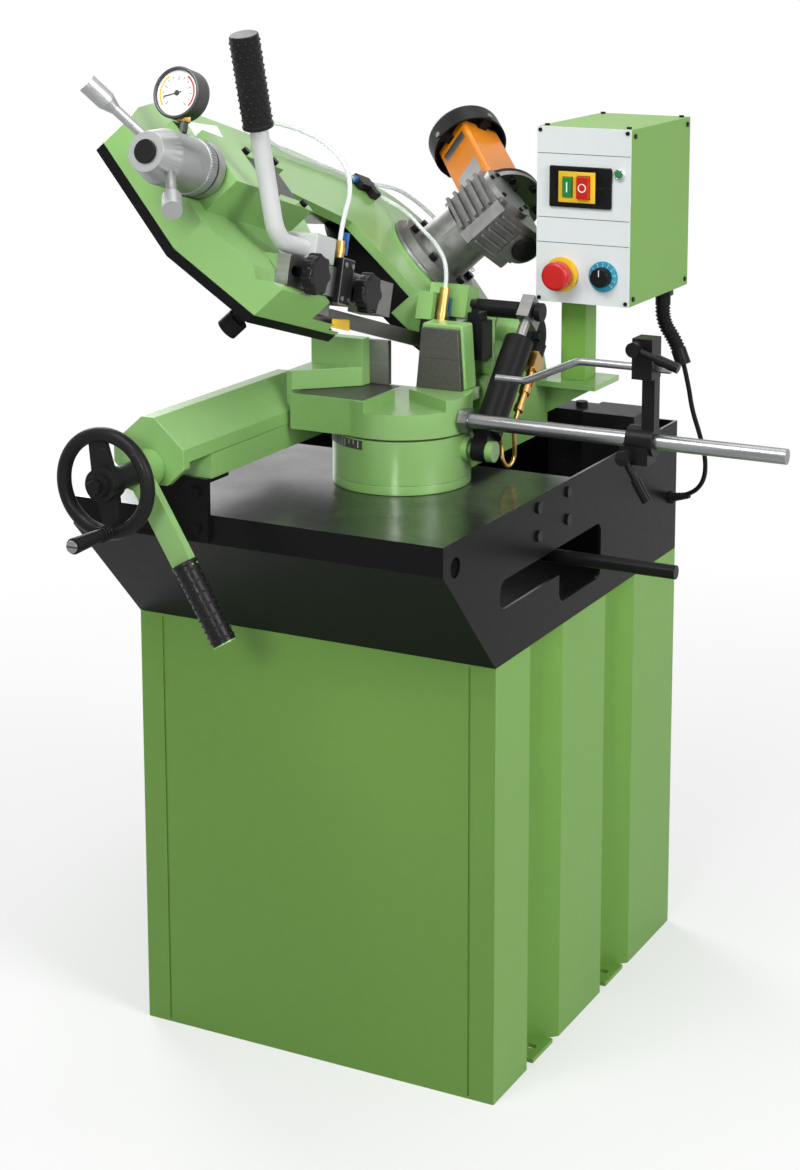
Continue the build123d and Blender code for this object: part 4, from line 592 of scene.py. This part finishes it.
# %% [markdown]
# ## Rounded copies of the solids
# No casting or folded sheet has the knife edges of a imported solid. A bevel in the shader could suggest a
# round edge, but the outline would stay sharp. So each solid is copied, its loose triangles are merged
# and flattened, and its sharp edges get a real bevel that catches the light. The copy stands for the
# solid and rides on the same body. Two are carved first: the bow gets a small window, and in the bow and
# its cover the throat is opened behind the front web, along the arm and round the drive wheel's housing.

# %% Outlines to carve from the bow
BEHIND, WEB = -45, 20.2
housing_radius = 152
window = ((-461, 169), (-444, 125), (-495, 133))
drive = Vector((-43.5, 135.8, 0))
turns = [math.radians(angle) for angle in range(136, 208, 6)]
housing_arc = [
    (drive.x + housing_radius * math.cos(turn), drive.y + housing_radius * math.sin(turn)) for turn in turns
]
arm_edge = [(-384, 196), (-300, 212)] + housing_arc[:1]
rear_throat = [(-384, 150)] + arm_edge + housing_arc[1:] + [(-178, 62), (-240, 62)]
carve = {
    "bow_frame": lambda: [slab(window, 24, 40, wheels, 0), slab(rear_throat, BEHIND, WEB, wheels, 0)],
    "wheel_cover": lambda: [slab(rear_throat, BEHIND, WEB, wheels, 0)],
}
print("corners of window and throat", len(window), len(rear_throat))

# %% Soften each solid
def soften(name, width, finish):
    piece = only(add(name + "_finished", frame["nodes"][name].data.copy()))
    bpy.ops.mesh.customdata_custom_splitnormals_clear()
    bpy.ops.object.mode_set(mode="EDIT")
    bpy.ops.mesh.select_all(action="SELECT")
    bpy.ops.mesh.remove_doubles(threshold=0.002 * MM)
    bpy.ops.mesh.dissolve_limited(angle_limit=math.radians(0.6))
    bpy.ops.object.mode_set(mode="OBJECT")
    if name in carve:
        cut(piece, carve[name]())
    break_edges(piece, width, 2 if width < 2 else 3)
    fit(piece, name + "_finished", home_of[name], finish)
    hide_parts(name)


for width, finish, names in (
    (1.2, green_sheet, "cabinet control_box"),
    (3.0, green_casting, "bow_frame arm_support vise_beam fixed_jaw"),
    (1.8, green_casting, "table vise_rail left_jaw pivot_base clamp_lever"),
    (1.2, black_coat_and_shade, "chip_tray vise_bracket wheel_cover"),
    (1.0, black_plastic, "fan_cowl"),
    (0.8, grey_coat, "control_panel"),
    (1.0, plate_steel, "fixed_jaw_plate"),
    (0.9, machined_steel, "vise_jaw_plate guide_bar"),
    (0.6, zinc_rod, "stop_rod stop_finger"),
    (0.05, band_steel, "blade"),
    (1.2, black_oxide, "stop_arm lock_lever feed_cylinder upper_clamp_lever lower_clamp_lever rear_guide"),
    (0.8, black_oxide, "hinge_shaft cylinder_pin"),
    (1.6, black_plastic, "handwheel coolant_pump limit_switch crank_handle"),
    (1.2, turned_aluminium, "tension_knob"),
    (1.6, cast_aluminium, "gearbox"),
    (2.4, orange_enamel, "motor_body"),
    (0.5, machined_steel, "piston_rod"),
    (0.8, dark_iron_and_shade, "pressure_gauge"),
    # The tension slide takes the dark iron partly for the black fastener there and partly as painted shade of the
    # groove that it sits in.
    (0.8, dark_iron_and_shade, "drive_wheel idler_wheel motor_rotor tension_slide"),
    (0.5, yellow_brass, "feed_valve front_valve rear_valve"),
    (0.8, blue_plastic, "front_valve_handle rear_valve_handle"),
    (1.4, red_plastic, "stop_button emergency_button"),
    (1.4, green_plastic, "start_button"),
    (0.8, gloss_black, "speed_knob feed_knob guide_knob_front guide_knob_rear"),
    (0.8, handle_grey, "handle_tube"),
    (1.5, grip_rubber, "handle_grip"),
    (0.3, black_plastic, "conduit"),
):
    for name in names.split():
        soften(name, width, finish)

# %% [markdown]
# ## Hoses and the supply cable
# Clear hoses bring coolant to both guides, and a black lead runs from the control box to the tray.
# Cylinders joined end to end would kink at each corner, so each cord is a NURBS spline, steered by the
# same points as its solid. The front hose ends on the guide, which slides, and the lead runs between the
# swivelling arm and the cabinet; both become meshes left in place on no body. The lead's points take it
# above the tray's wall.

# %% Smooth lines from listed points
def smooth_line(name, points, where):
    curve = bpy.data.curves.new(name, "CURVE")
    curve.dimensions = "3D"
    spline = curve.splines.new("NURBS")
    spline.points.add(len(points) - 1)
    for control, point in zip(spline.points, points):
        control.co = (*(where @ (Vector(point) * MM)), 1)
    spline.order_u = 3
    spline.use_endpoint_u = True
    spline.resolution_u = 10
    return add(name, curve)


def line_length(line):
    bpy.context.view_layer.update()
    mesh = bpy.data.meshes.new_from_object(line.evaluated_get(bpy.context.evaluated_depsgraph_get()))
    path = [vertex.co.copy() for vertex in mesh.vertices]
    return path, sum((b - a).length for a, b in zip(path, path[1:]))


def tube(name, points, radius, where, finish, as_mesh=False):
    line = smooth_line(name, points, where)
    path, length = line_length(line)
    line.data.bevel_depth = radius * MM
    line.data.bevel_resolution = 4
    line.data.use_fill_caps = True
    line.data.materials.append(finish)
    if as_mesh:
        only(line)
        bpy.ops.object.convert(target="MESH")
        line = bpy.context.object
        bpy.ops.object.shade_smooth_by_angle(angle=math.radians(40))
    return line, path, length


print("cords are drawn by", smooth_line.__name__, "and measured by", line_length.__name__)

# %% Coolant hoses
hose_radius = 3.0
cast_front = 33.0
hose_n = cast_front + 6
front_points = (
    (-118, 276, hose_n), (-200, 279, hose_n + 1), (-285, 276, hose_n), (-370, 281, hose_n + 3),
    (-440, 284, 62), (-462, 240, 98), (-452, 190, 128), (-446, 140, 136), (-456, 100, 122),
    (-478, 70, 99.6), (-478, 50.4, 80.0),
)
rear_points = (
    (-80, 258, hose_n), (-60, 240, 46), (-80, 196, 62), (-122, 146, 76), (-150, 104, 88), (-158, 64, 84),
    (-158, 44.0, 64.0),
)
feed_points = (
    (-80, 276, hose_n), (-20, 284, 44), (40, 276, 46), (92, 244, 44), (116, 190, 40), (118, 150, 36),
)
front_hose, front_path, front_length = tube("front_hose", front_points, hose_radius, wheels, clear_hose, True)
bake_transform(front_hose)
rear_hose, rear_path, rear_length = tube("rear_hose", rear_points, hose_radius, wheels, clear_hose)
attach(rear_hose, "bow")
feed_hose, feed_path, feed_length = tube("feed_hose", feed_points, hose_radius, wheels, clear_hose)
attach(feed_hose, "bow")
print("hoses in metres", [round(value, 3) for value in (front_length, rear_length, feed_length)])

# %% Supply cable
cabinet_x = 271.0
cable_radius = 3.5
cable_points = (
    (316.8, 215, 903.6), (323, 219, 874), (325, 230, 836), (333, 244, 796), (338, 258, 756), (330, 274, 718),
    (304, 286, 692), (cabinet_x + 1.4, 290, 684),
)
cable, cable_path, cable_length = tube("supply_lead", cable_points, cable_radius, world, cable_rubber, True)
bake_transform(cable)
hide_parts("supply_cable")
print("cable in metres", round(cable_length, 3))

# %% Branch fitting
branch = weld([
    bar((-120, 262, cast_front), (-78, 284, cast_front + 12), wheels, 1.2),
    bar((-96, 250, cast_front), (-78, 266, cast_front + 12), wheels, 1.2),
])
fit(branch, "branch_fitting", "bow", black_plastic)
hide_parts("coolant_hoses")

# %% [markdown]
# ## Control panel
# The box carries a start and stop switch, a mushroom button, a speed knob and a lamp on a light grey
# sheet. Their rims could be painted on, but real steps cast small shadows. In the panel's frame x runs
# right, y runs up and z comes out of the sheet. The switch plate is a bar with windows cut for the two
# push buttons, and the discs behind the round controls are short rods with a hole for the stem.

# %% Switch plate, discs and lamp
panel = axes((0, 50 * MM, 0), ACROSS, (0, -1, 0))
button_windows = (((198.2, 1159.6, -5), (213.8, 1188.4, 20)), ((220.2, 1157.6, -5), (239.8, 1190.4, 20)))


def windows():
    return [bar(low, high, panel, 0) for low, high in button_windows]


def washer(at, outer, inner, low, high, where, edge=0.6):
    disc = rod("z", at, outer, low, high, where, edge, 64)
    return cut(disc, [rod("z", at, inner, low - 2, high + 2, where, 0)])


plate = cut(bar((177.4, 1145.4, 0.1), (270.6, 1202.6, 4.6), panel, 2.0, 4), windows())
fit(plate, "switch_plate", "swivel", gloss_black)
surround = cut(bar((192, 1152.5, 4.2), (247, 1195.5, 5.9), panel, 1.0, 3), windows())
fit(surround, "switch_surround", "swivel", yellow_plastic)
fit(washer((197, 1051), 24.5, 11.7, 0.1, 4.4, panel, 0.8), "stop_disc", "swivel", yellow_plastic)
fit(washer((259, 1052), 21.4, 4.4, 0.1, 3.2, panel), "speed_dial", "swivel", dial_blue)
fit(rod("z", (281, 1195), 5.4, 3.0, 6.6, panel, 1.4, 32), "lamp_lens", "swivel", green_plastic)
fit(ring((281, 1195, 5.0), 6.3, 1.1, panel), "lamp_bezel", "swivel", bright_chrome)

# %% Marks on the panel
marks = []
for step in range(11):
    turn = math.radians(225 - 27 * step)
    spot = panel @ shift(259, 1052, 3.2) @ Matrix.Rotation(turn, 4, "Z")
    marks.append(bar((14.4, -0.35, -0.05), (16.6, 0.35, 0.14), spot, 0))
    marks.append(word(str(step), 3.4, spot @ shift(18.7, 0, 0) @ Matrix.Rotation(-turn, 4, "Z"), 0.14))
fit(weld(marks), "dial_marks", "swivel", white_mark)
fit(bar((258.4, 1054, 17.7), (259.6, 1063, 18.2), panel, 0), "knob_pointer", "speed_knob", white_mark)
fit(bar((205.1, 1167, 8.6), (206.9, 1181, 9.25), panel, 0), "start_sign", "start_button", white_mark)
fit(ring((230, 1174, 11.8), 5.4, 0.8, panel), "stop_sign", "stop_button", white_mark)

# %% Lines, screws and knob ribs
dividers = [bar((158.2, z - 0.4, -0.1), (295.8, z + 0.4, 0.15), panel, 0) for z in (1219, 1130, 1095)]
fit(weld(dividers), "panel_lines", "swivel", ink_and_shade)
screws = [at(panel, (x, z, 0), (0, 0, 1), 2.8, 1.6) for x in (162, 292) for z in (1016, 1251)]
screws += [at(panel, (x, 1174, 4.5), (0, 0, 1), 3.2, 1.3) for x in (184.5, 263.5)]
screws += [at(world, (297, y, z), (1, 0, 0), 3.6, 1.8) for y in (64, 262) for z in (1021, 1246)]
screws += [at(world, (x, y, 1256), (0, 0, 1), 3.6, 2.4) for x in (166, 288) for y in (64, 262)]
fit(copies(screw, screws), "panel_screws", "swivel", black_oxide)
ribs = [panel @ shift(259, 1052, 10) @ Matrix.Rotation(math.radians(15 * n), 4, "Z") for n in range(24)]
knob_ribs = [bar((13.0, -0.7, -6), (14.0, 0.7, 5), spot, 0.3) for spot in ribs]
fit(weld(knob_ribs), "knob_ribs", "speed_knob", gloss_black)

# %% Cable glands
fit(rod("z", (283, 215), 15, 1003, 1011, world, 0.8, 6), "conduit_nut", "swivel", black_plastic)
lead_way = Vector((31.6, -4, 8)).normalized()
lead = axes(Vector((cabinet_x, 290.2, 683.6)) * MM, lead_way.orthogonal(), lead_way)
relief = [rod("z", (0, 0), 9.5, -1, 5, lead, 0.8, 6), taper(6.6, 4.3, 5, 33, lead)]
relief += [ring((0, 0, 9 + 4 * n), 6.0 - 0.3 * n, 0.7, lead, around=24, across=8) for n in range(6)]
fit(weld(relief), "lead_relief", "base", cable_rubber)

# %% [markdown]
# ## Table, vise and handwheel
# The pot under the table carries a degree scale that turns with the bow, and the pointer beside it stays
# with the table. The scale could be a picture, but thin bars stay crisp from any distance and need no
# file. The handwheel gets its nut, and the grips get the raised dots that keep an oily hand from
# slipping. One dot is made and then copied in rows.

# %% Degree scale, pointer and plates
pot = shift(70, -188, 0)
fit(arc_band(92.6, 93.8, 855.5, 867.5, 196, 264, pot), "degree_scale", "swivel", plate_steel)
marks = []
for degree in range(200, 261, 5):
    spot = pot @ Matrix.Rotation(math.radians(degree), 4, "Z")
    marks.append(bar((93.6, -0.35, 857.5 if degree % 15 == 5 else 861.5), (94.0, 0.35, 866.5), spot, 0))
fit(weld(marks), "degree_marks", "swivel", white_mark)
pointer = bar((94.9, -7, 857), (96.5, 7, 885), pot @ Matrix.Rotation(math.radians(240), 4, "Z"), 0.5)
fit(pointer, "degree_pointer", "base", machined_steel)
fit(bar((-46, -274, 919.8), (58, -172, 920.5), world, 0.2), "table_plate", "base", plate_steel)
fit(bar((84.6, -166.75, 961.6), (144.6, -166.3, 962.4), world, 0), "jaw_line", "base", ink_and_shade)
bolts = [at(world, (cabinet_x, y, z), (1, 0, 0), 7.5, 3) for y in (-187, -92) for z in (743, 781)]
fit(copies(screw, bolts), "tray_bolts", "base", black_oxide)

# %% Handwheel nut and crank screw
hub = [rod("z", (0, 0), 13, 19.6, 21.4, handwheel), rod("z", (0, 0), 9.8, 21, 28, handwheel, 0.9, 6)]
fit(weld(hub), "handwheel_nut", "handwheel", black_oxide)
crank = axes(joints["crank_spin"]["pos_m"], ACROSS, (0, -1, 0))
slotted = cut(rod("z", (0, 0), 7.8, 4.3, 7.3, crank, 0.8, 32), [bar((-9, -0.8, 6.1), (9, 0.8, 9), crank, 0)])
fit(slotted, "crank_screw", "handwheel", machined_steel)
crank_rings = [ring((0, 0, z), 8.4 + 0.04 * (z + 70), 0.9, crank) for z in (-64, -58, -52)]
fit(weld(crank_rings), "crank_rings", "crank_handle", black_plastic)

# %% Dotted grips
def dotted_grip(where, radius, low, high, rows, around):
    sleeve = [rod("z", (0, 0), radius + 0.4, low, high, where, 2.6, 40)]
    sleeve.append(rod("z", (0, 0), radius + 1.6, low, low + 6, where, 1.5, 40))
    spots = []
    for row in range(rows):
        height = low + 12 + (high - low - 20) * row / (rows - 1)
        for spot in circle(radius, around, 180 / around * (row % 2)):
            place = shift(spot.x, spot.y, height)
            spots.append(where @ place @ Matrix.Diagonal((1.7 * MM, 1.7 * MM, 1.7 * MM, 1)))
    return weld(sleeve + [copies(dot, spots)])


lever = axes((-107 * MM, -557.8 * MM, 868 * MM), (0.52, 0, -0.854), (0, 1, 0))
lever_grip = lever @ axes((0, 0, 6 * MM), (0, 1, 0), (1, 0, 0))
fit(dotted_grip(lever_grip, 15, 126, 238, 13, 12), "lever_grip", "clamp_lever", grip_rubber)
handle_way = Vector((-131, 212.5, 0)).normalized()
handle_end = bow @ axes(Vector((-751, 283, 15)) * MM, (0, 0, 1), handle_way)
fit(dotted_grip(handle_end, 17, -108, 5, 13, 13), "handle_sleeve", "bow", grip_rubber)

# %% [markdown]
# ## Gauge and tension knob
# The gauge shows how tight the band is. It has a shallow recess, and a printed face could fill it, but
# thin layers inside a dark ring give the dial, its scale and its needle a little depth. The tension knob
# next to it gets a dark disc painted in as the shade of the gap between its discs, fine ribs that a loop
# sets round it, and a black cap.

# %% Pressure gauge
gauge = bow @ axes(Vector((-693, 228, -104.9)) * MM, (0, 0, 1), (-1, 0, 0))
fit(rod("z", (0, 0), 27.9, -2.2, -1.6, gauge, 0), "gauge_dial", "bow", white_mark)
fit(arc_band(22.5, 24.5, -1.7, -1.45, 125, 222, gauge), "gauge_low_arc", "bow", yellow_plastic)
fit(arc_band(22.5, 24.5, -1.7, -1.45, -40, 60, gauge), "gauge_high_arc", "bow", red_plastic)
marks = []
for step in range(13):
    spot = gauge @ Matrix.Rotation(math.radians(-45 + 22.5 * step), 4, "Z")
    marks.append(bar((17.5 if step % 3 else 15, -0.4, -1.7), (20.6, 0.4, -1.4), spot, 0))
marks.append(bar((-6, -0.7, -1.5), (19, 0.7, -1.0), gauge @ Matrix.Rotation(math.radians(196), 4, "Z"), 0))
marks.append(rod("z", (0, 0), 3.2, -1.6, -0.4, gauge, 0.3, 24))
fit(weld(marks), "gauge_marks", "bow", ink_and_shade)
fit(ring((0, 0, 0.1), 29.7, 2.0, gauge), "gauge_bezel", "bow", dark_iron_and_shade)
fit(rod("y", (-681, -97), 9.4, 195, 203, bow, 0.6, 6), "gauge_nut", "bow", yellow_brass)

# %% Tension knob trim
# Painted shade: this dark disc stands for the shade in the gap between the knob's discs.
fit(rod("z", (0, 0), 31.6, 16.2, 19.8, knob_hub, 0), "knob_gap_shade", "tension_knob", ink_and_shade)
ribs = [knob_hub @ Matrix.Rotation(math.radians(6 * n), 4, "Z") for n in range(60)]
serration = [bar((33.4, -0.9, 21.4), (34.7, 0.9, 32.6), spot, 0.3) for spot in ribs]
fit(weld(serration), "knob_serration", "tension_knob", turned_aluminium)
fit(rod("z", (0, 0), 14, 118, 124, knob_hub, 1.6), "knob_cap", "tension_knob", black_plastic)

# %% [markdown]
# ## Casting and guide
# The bow's casting carries plates, clips, screws and a machined seat, and its front guide has a cover and
# two lobed knobs. All this could be in the solids, but trim that nothing rests on is easier to shape
# here. The carved openings get thin walls of their own, so that each side can have its own paint, and the
# window's floor is a black sheet of painted shade for the dark inside of the opening.

# %% Walls of the window and the throat
# Painted shade: the window's floor is a black sheet standing for the dark inside of the opening.
fit(slab(window, 23.8, 24.4, wheels, 0), "window_shade_floor", "bow", black_coat_and_shade)
underside = [(x, v + 4) for x, v in reversed(arm_edge)]
fit(slab(arm_edge + underside, -26.9, 20.1, wheels, 0), "arm_underside", "bow", green_casting)
fit(arc_band(148.6, 152.2, -26.9, 20.1, 134, 209, wheels @ shift(*drive)), "housing_wall", "bow", black_coat_and_shade)

# %% Casting trim
fit(bar((-557, 57.8, -20.5), (-509, 90.2, 34.5), bow, 3, 3), "handle_socket", "bow", rough_grey)
cover = slab(((-498, 80), (-457, 84), (-452, 112), (-498, 96)), 32.5, 36, wheels)
fit(cover, "cover_plate", "bow", green_casting)
bare_field = slab(((-569, 246), (-488, 254), (-478, 288), (-565, 272)), 32.8, 33.5, wheels, 0)
fit(bare_field, "bare_label", "bow", white_mark)
clip_spots = ((-371.6, 285), (-420, 215.6))
clips = [rod("z", spot, 5.5, 32, 40, wheels, 1.2, 24) for spot in clip_spots]
clips += [bar((x - 9, v - 2.5, 36), (x + 9, v + 2.5, 44), wheels, 1.2) for x, v in clip_spots]
fit(weld(clips), "hose_clips", "bow", black_plastic)

# %% Casting screws, guard and seat
screws = [at(wheels, (x, v, 36), (0, 0, 1), 4.5, 3) for x, v in ((-486, 90), (-463, 97))]
screws += [at(wheels, (x, v, 80), (0, 0, 1), 5, 5) for x in (-676, -632, -590, -520) for v in (101, 171)]
fit(copies(screw, screws), "casting_screws", "bow", black_oxide)
guard = slab(((-451, -14), (-405, -13), (-409, 1), (-451, -3)), 9, 10.8, bow, 0.4)
fit(guard, "blade_guard", "bow", yellow_paint)
fit(rod("z", drive.xy, 75.4, 37, 42.2, wheels, 0.8, 96), "machined_seat", "bow", machined_steel)

# %% Guide block and knobs
fit(bar((-492.4, 13, 3.6), (-462.6, 70.4, 37.9), bow, 2.6, 3), "guide_cover", "guide", black_plastic)
screws = [at(bow, (x, w, 37.6), (0, 0, 1), 3.2, 1.8) for x in (-486, -469) for w in (20, 62)]
fit(copies(screw, screws), "guide_screws", "guide", machined_steel)
for name, x, w in (("guide_knob_front", -572, 38.5), ("guide_knob_rear", -436, 34)):
    lobes = [rod("z", (x, w), 24.2, 38.6, 53.6, bow, 4, 64)]
    lobes += [rod("z", (x + spot.x, w + spot.y), 6.4, 38.4, 53.8, bow, 2, 24) for spot in circle(19.5, 7)]
    fit(weld(lobes), name + "_lobes", name, gloss_black)

# %% Collars and feed lever
collars = [rod("x", (276, 39), 5.4, -127, -119.5, wheels), rod("x", (276, 39), 5.4, -78.5, -71, wheels)]
collars.append(rod("x", (258, 39), 5.4, -78.5, -72, wheels))
fit(weld(collars), "branch_collars", "bow", blue_plastic)
fit(bar((9.6, 42.8, 111.6), (18.4, 46.3, 139.4), cylinder, 1.0), "feed_lever", "cylinder", red_plastic)

# %% [markdown]
# ## Blade teeth
# The band shows its teeth on the free stretch between the guides. A bump would leave its edge straight,
# so one gullet is drawn, copied along the band at the pitch of the teeth, and cut out of it in one step.

# %% Blade teeth
pitch = 6.0
gullets = [bow @ shift(-142 - pitch * n, -10, 0) for n in range(60)]
notch = slab(((-2.8, -1), (2.6, -1), (0.4, 2.2)), -3, 3, world, 0)
teeth = copies(notch, gullets)
cut(bpy.data.objects["blade_finished"], [teeth])
bpy.data.objects.remove(notch, do_unlink=True)

# %% [markdown]
# ## Gear motor
# A worm gearbox turns the band wheel, and an orange motor stands on it. The gearbox is a finned casting
# with bolts on every flange and short ribs on its lower end. The ribs could be cut out of a block, but a
# few bevelled bars that sink into the casting look the same and are easier to change. The motor gets two
# bare plates, a dark joint ring and pressed rings on its fan cowl.

# %% Gearbox bolts and ribs
bolts = [at(wheels, drive + spot + Vector((0, 0, 55)), (0, 0, 1), 6, 7) for spot in circle(56, 6, 20)]
bolts += [at(wheels, drive + spot + Vector((0, 0, 188)), (0, 0, 1), 3.6, 3) for spot in circle(35, 6, 20)]
bolts += [at(motor, spot + Vector((0, 0, 41)), (0, 0, -1), 5, 6) for spot in circle(52, 8, 10)]
fit(copies(screw, bolts), "gearbox_bolts", "bow", black_oxide)
ribs = [bar((x - 2.5, -72, -57.5), (x + 2.5, -30, -51), motor, 1.0) for x in (-34, -21, -8, 5, 18)]
ribs.append(bar((-30, -26, -55), (14, 4, -51), motor, 1.5))
ribs.append(bar((-47, -76, -40), (-43, -20, 28), motor, 1.5))
ribs += [bar((x, -80, z), (x + 8, -66, z + 12), motor, 1.5) for x in (-44, 26) for z in (-38, 14)]
fit(weld(ribs), "gearbox_ribs", "bow", cast_aluminium)
fit(rod("z", (0, 0), 19, -60, -50, motor, 2), "worm_cap", "bow", black_plastic)

# %% Motor joint, plates and cowl
MOTOR_TURN = -16
fit(washer((0, 0), 61.8, 40, 50, 55.5, motor, 0.8), "motor_joint", "bow", black_oxide)
motor_face = motor @ Matrix.Rotation(math.radians(MOTOR_TURN), 4, "Z")
plates = [bar((-25, -34.5, 172), (25, -33.8, 188), motor_face, 0)]
plates.append(bar((-22, -34.5, 92), (24, -33.8, 124), motor_face, 0))
fit(weld(plates), "bare_plates", "bow", turned_aluminium)
cowl_rings = [ring((0, 0, 229.6), radius, 1.3, motor) for radius in (16, 26, 36)]
fit(weld(cowl_rings), "cowl_rings", "bow", black_coat_and_shade)
cowl_screws = [at(motor, 56 * out + Vector((0, 0, 199)), out, 4, 2.5) for out in circle(1, 4, MOTOR_TURN)]
fit(copies(screw, cowl_screws), "cowl_screws", "bow", machined_steel)
for master in (screw, dot):
    bpy.data.objects.remove(master, do_unlink=True)

# %% [markdown]
# ## Studio
# The saw stands on a white floor. A picture of a studio could light it, but a few lamps are easier to aim
# and need no file. A broad key stands to the right, so the cabinet's side is brighter than its front, a
# small gridded lamp picks out the vise, and a soft world fills the rest. The world and the far floor look
# white to the camera, to mirror rays and through clear hose, while the light on the machine stays plain.

# %% What the eye sees
def seen_by_eye(tree):
    rays = tree.nodes.new("ShaderNodeLightPath")
    seen = node(tree, "ShaderNodeMath", operation="MAXIMUM")
    seen_or_clear = node(tree, "ShaderNodeMath", operation="MAXIMUM")
    wire(tree, (rays.outputs["Is Camera Ray"], seen.inputs[0]))
    wire(tree, (rays.outputs["Is Glossy Ray"], seen.inputs[1]), (seen.outputs[0], seen_or_clear.inputs[0]))
    wire(tree, (rays.outputs["Is Transmission Ray"], seen_or_clear.inputs[1]))
    return seen_or_clear.outputs[0]


print("camera, mirror and clear rays share", seen_by_eye.__name__)

# %% Floor
clear()
bpy.ops.mesh.primitive_plane_add(size=30, location=(0, 0, 0))
floor = bpy.context.object
floor.name = "studio_floor"
floor_paint, tree, shader, where = blank("studio floor", (0.86, 0.86, 0.86), 0.7)
shader.inputs["Specular IOR Level"].default_value = 0.0
away = node(tree, "ShaderNodeVectorMath", operation="LENGTH")
fade = node(tree, "ShaderNodeMapRange", {"From Min": 0.5, "From Max": 2.2, "To Min": 0.45, "To Max": 1.0})
amount = node(tree, "ShaderNodeMath", operation="MULTIPLY")
glow = node(tree, "ShaderNodeEmission", {"Color": (1, 1, 1, 1), "Strength": 1.0})
blend = tree.nodes.new("ShaderNodeMixShader")
wire(tree, (where, away.inputs[0]), (away.outputs["Value"], fade.inputs["Value"]))
wire(tree, (fade.outputs[0], amount.inputs[0]), (seen_by_eye(tree), amount.inputs[1]))
wire(tree, (amount.outputs[0], blend.inputs["Fac"]), (shader.outputs[0], blend.inputs[1]))
wire(tree, (glow.outputs[0], blend.inputs[2]))
wire(tree, (blend.outputs[0], tree.nodes["Material Output"].inputs["Surface"]))
floor.data.materials.append(floor_paint)
print("floor", len(tree.nodes), "nodes")

# %% World
scene = bpy.context.scene
scene.world = scene.world or bpy.data.worlds.new("studio")
scene.world.use_nodes = True
tree = scene.world.node_tree
tree.nodes.clear()
soft = node(tree, "ShaderNodeBackground", {"Color": (0.93, 0.96, 1.0, 1), "Strength": 0.13})
white = node(tree, "ShaderNodeBackground", {"Color": (1, 1, 1, 1), "Strength": 1.0})
mix = tree.nodes.new("ShaderNodeMixShader")
out = tree.nodes.new("ShaderNodeOutputWorld")
wire(tree, (seen_by_eye(tree), mix.inputs["Fac"]), (soft.outputs[0], mix.inputs[1]))
wire(tree, (white.outputs[0], mix.inputs[2]), (mix.outputs[0], out.inputs["Surface"]))
print("world", len(tree.nodes), "nodes")

# %% Lamps
def lamp(name, place, aim, size, watts, spread=180):
    data = bpy.data.lights.new(name, "AREA")
    data.shape = "RECTANGLE"
    data.size, data.size_y = size
    data.energy = watts
    data.spread = math.radians(spread)
    made = add(name, data)
    made.location = place
    made.rotation_euler = (Vector(aim) - Vector(place)).to_track_quat("-Z", "Y").to_euler()


lamp("key", (3.5, -1.0, 2.4), (0, 0, 0.7), (1.6, 2.2), 112)
lamp("front", (0.0, -1.4, 2.4), (0, -0.25, 0.95), (1.1, 0.8), 31)
lamp("grid", (0.75, -2.5, 1.55), (0.0, -0.3, 0.92), (0.3, 0.3), 0.85, 28)
lamp("top", (0.2, 0.4, 3.2), (0, -0.1, 0.9), (1.8, 1.4), 22)
lamp("back_left", (-2.6, 1.8, 2.4), (0, 0, 0.9), (1.6, 2.0), 60)
print("lamps", len(bpy.data.lights))

# %% Camera
eye = bpy.data.cameras.new("camera")
camera = add("camera", eye)
camera_turn = math.radians(27.296)
camera_pitch = math.radians(10)
camera.location = Vector((1468.4, -2835.3, 1558.9)) * MM
camera.rotation_euler = (math.pi / 2 - camera_pitch, 0, camera_turn)
eye.sensor_width = 36
eye.lens = 70.53
eye.shift_x = -0.0199
eye.shift_y = -0.2373
scene.camera = camera
scene.view_settings.view_transform = "Standard"
print("camera", [round(value, 2) for value in camera.location], "lens", round(eye.lens, 2))
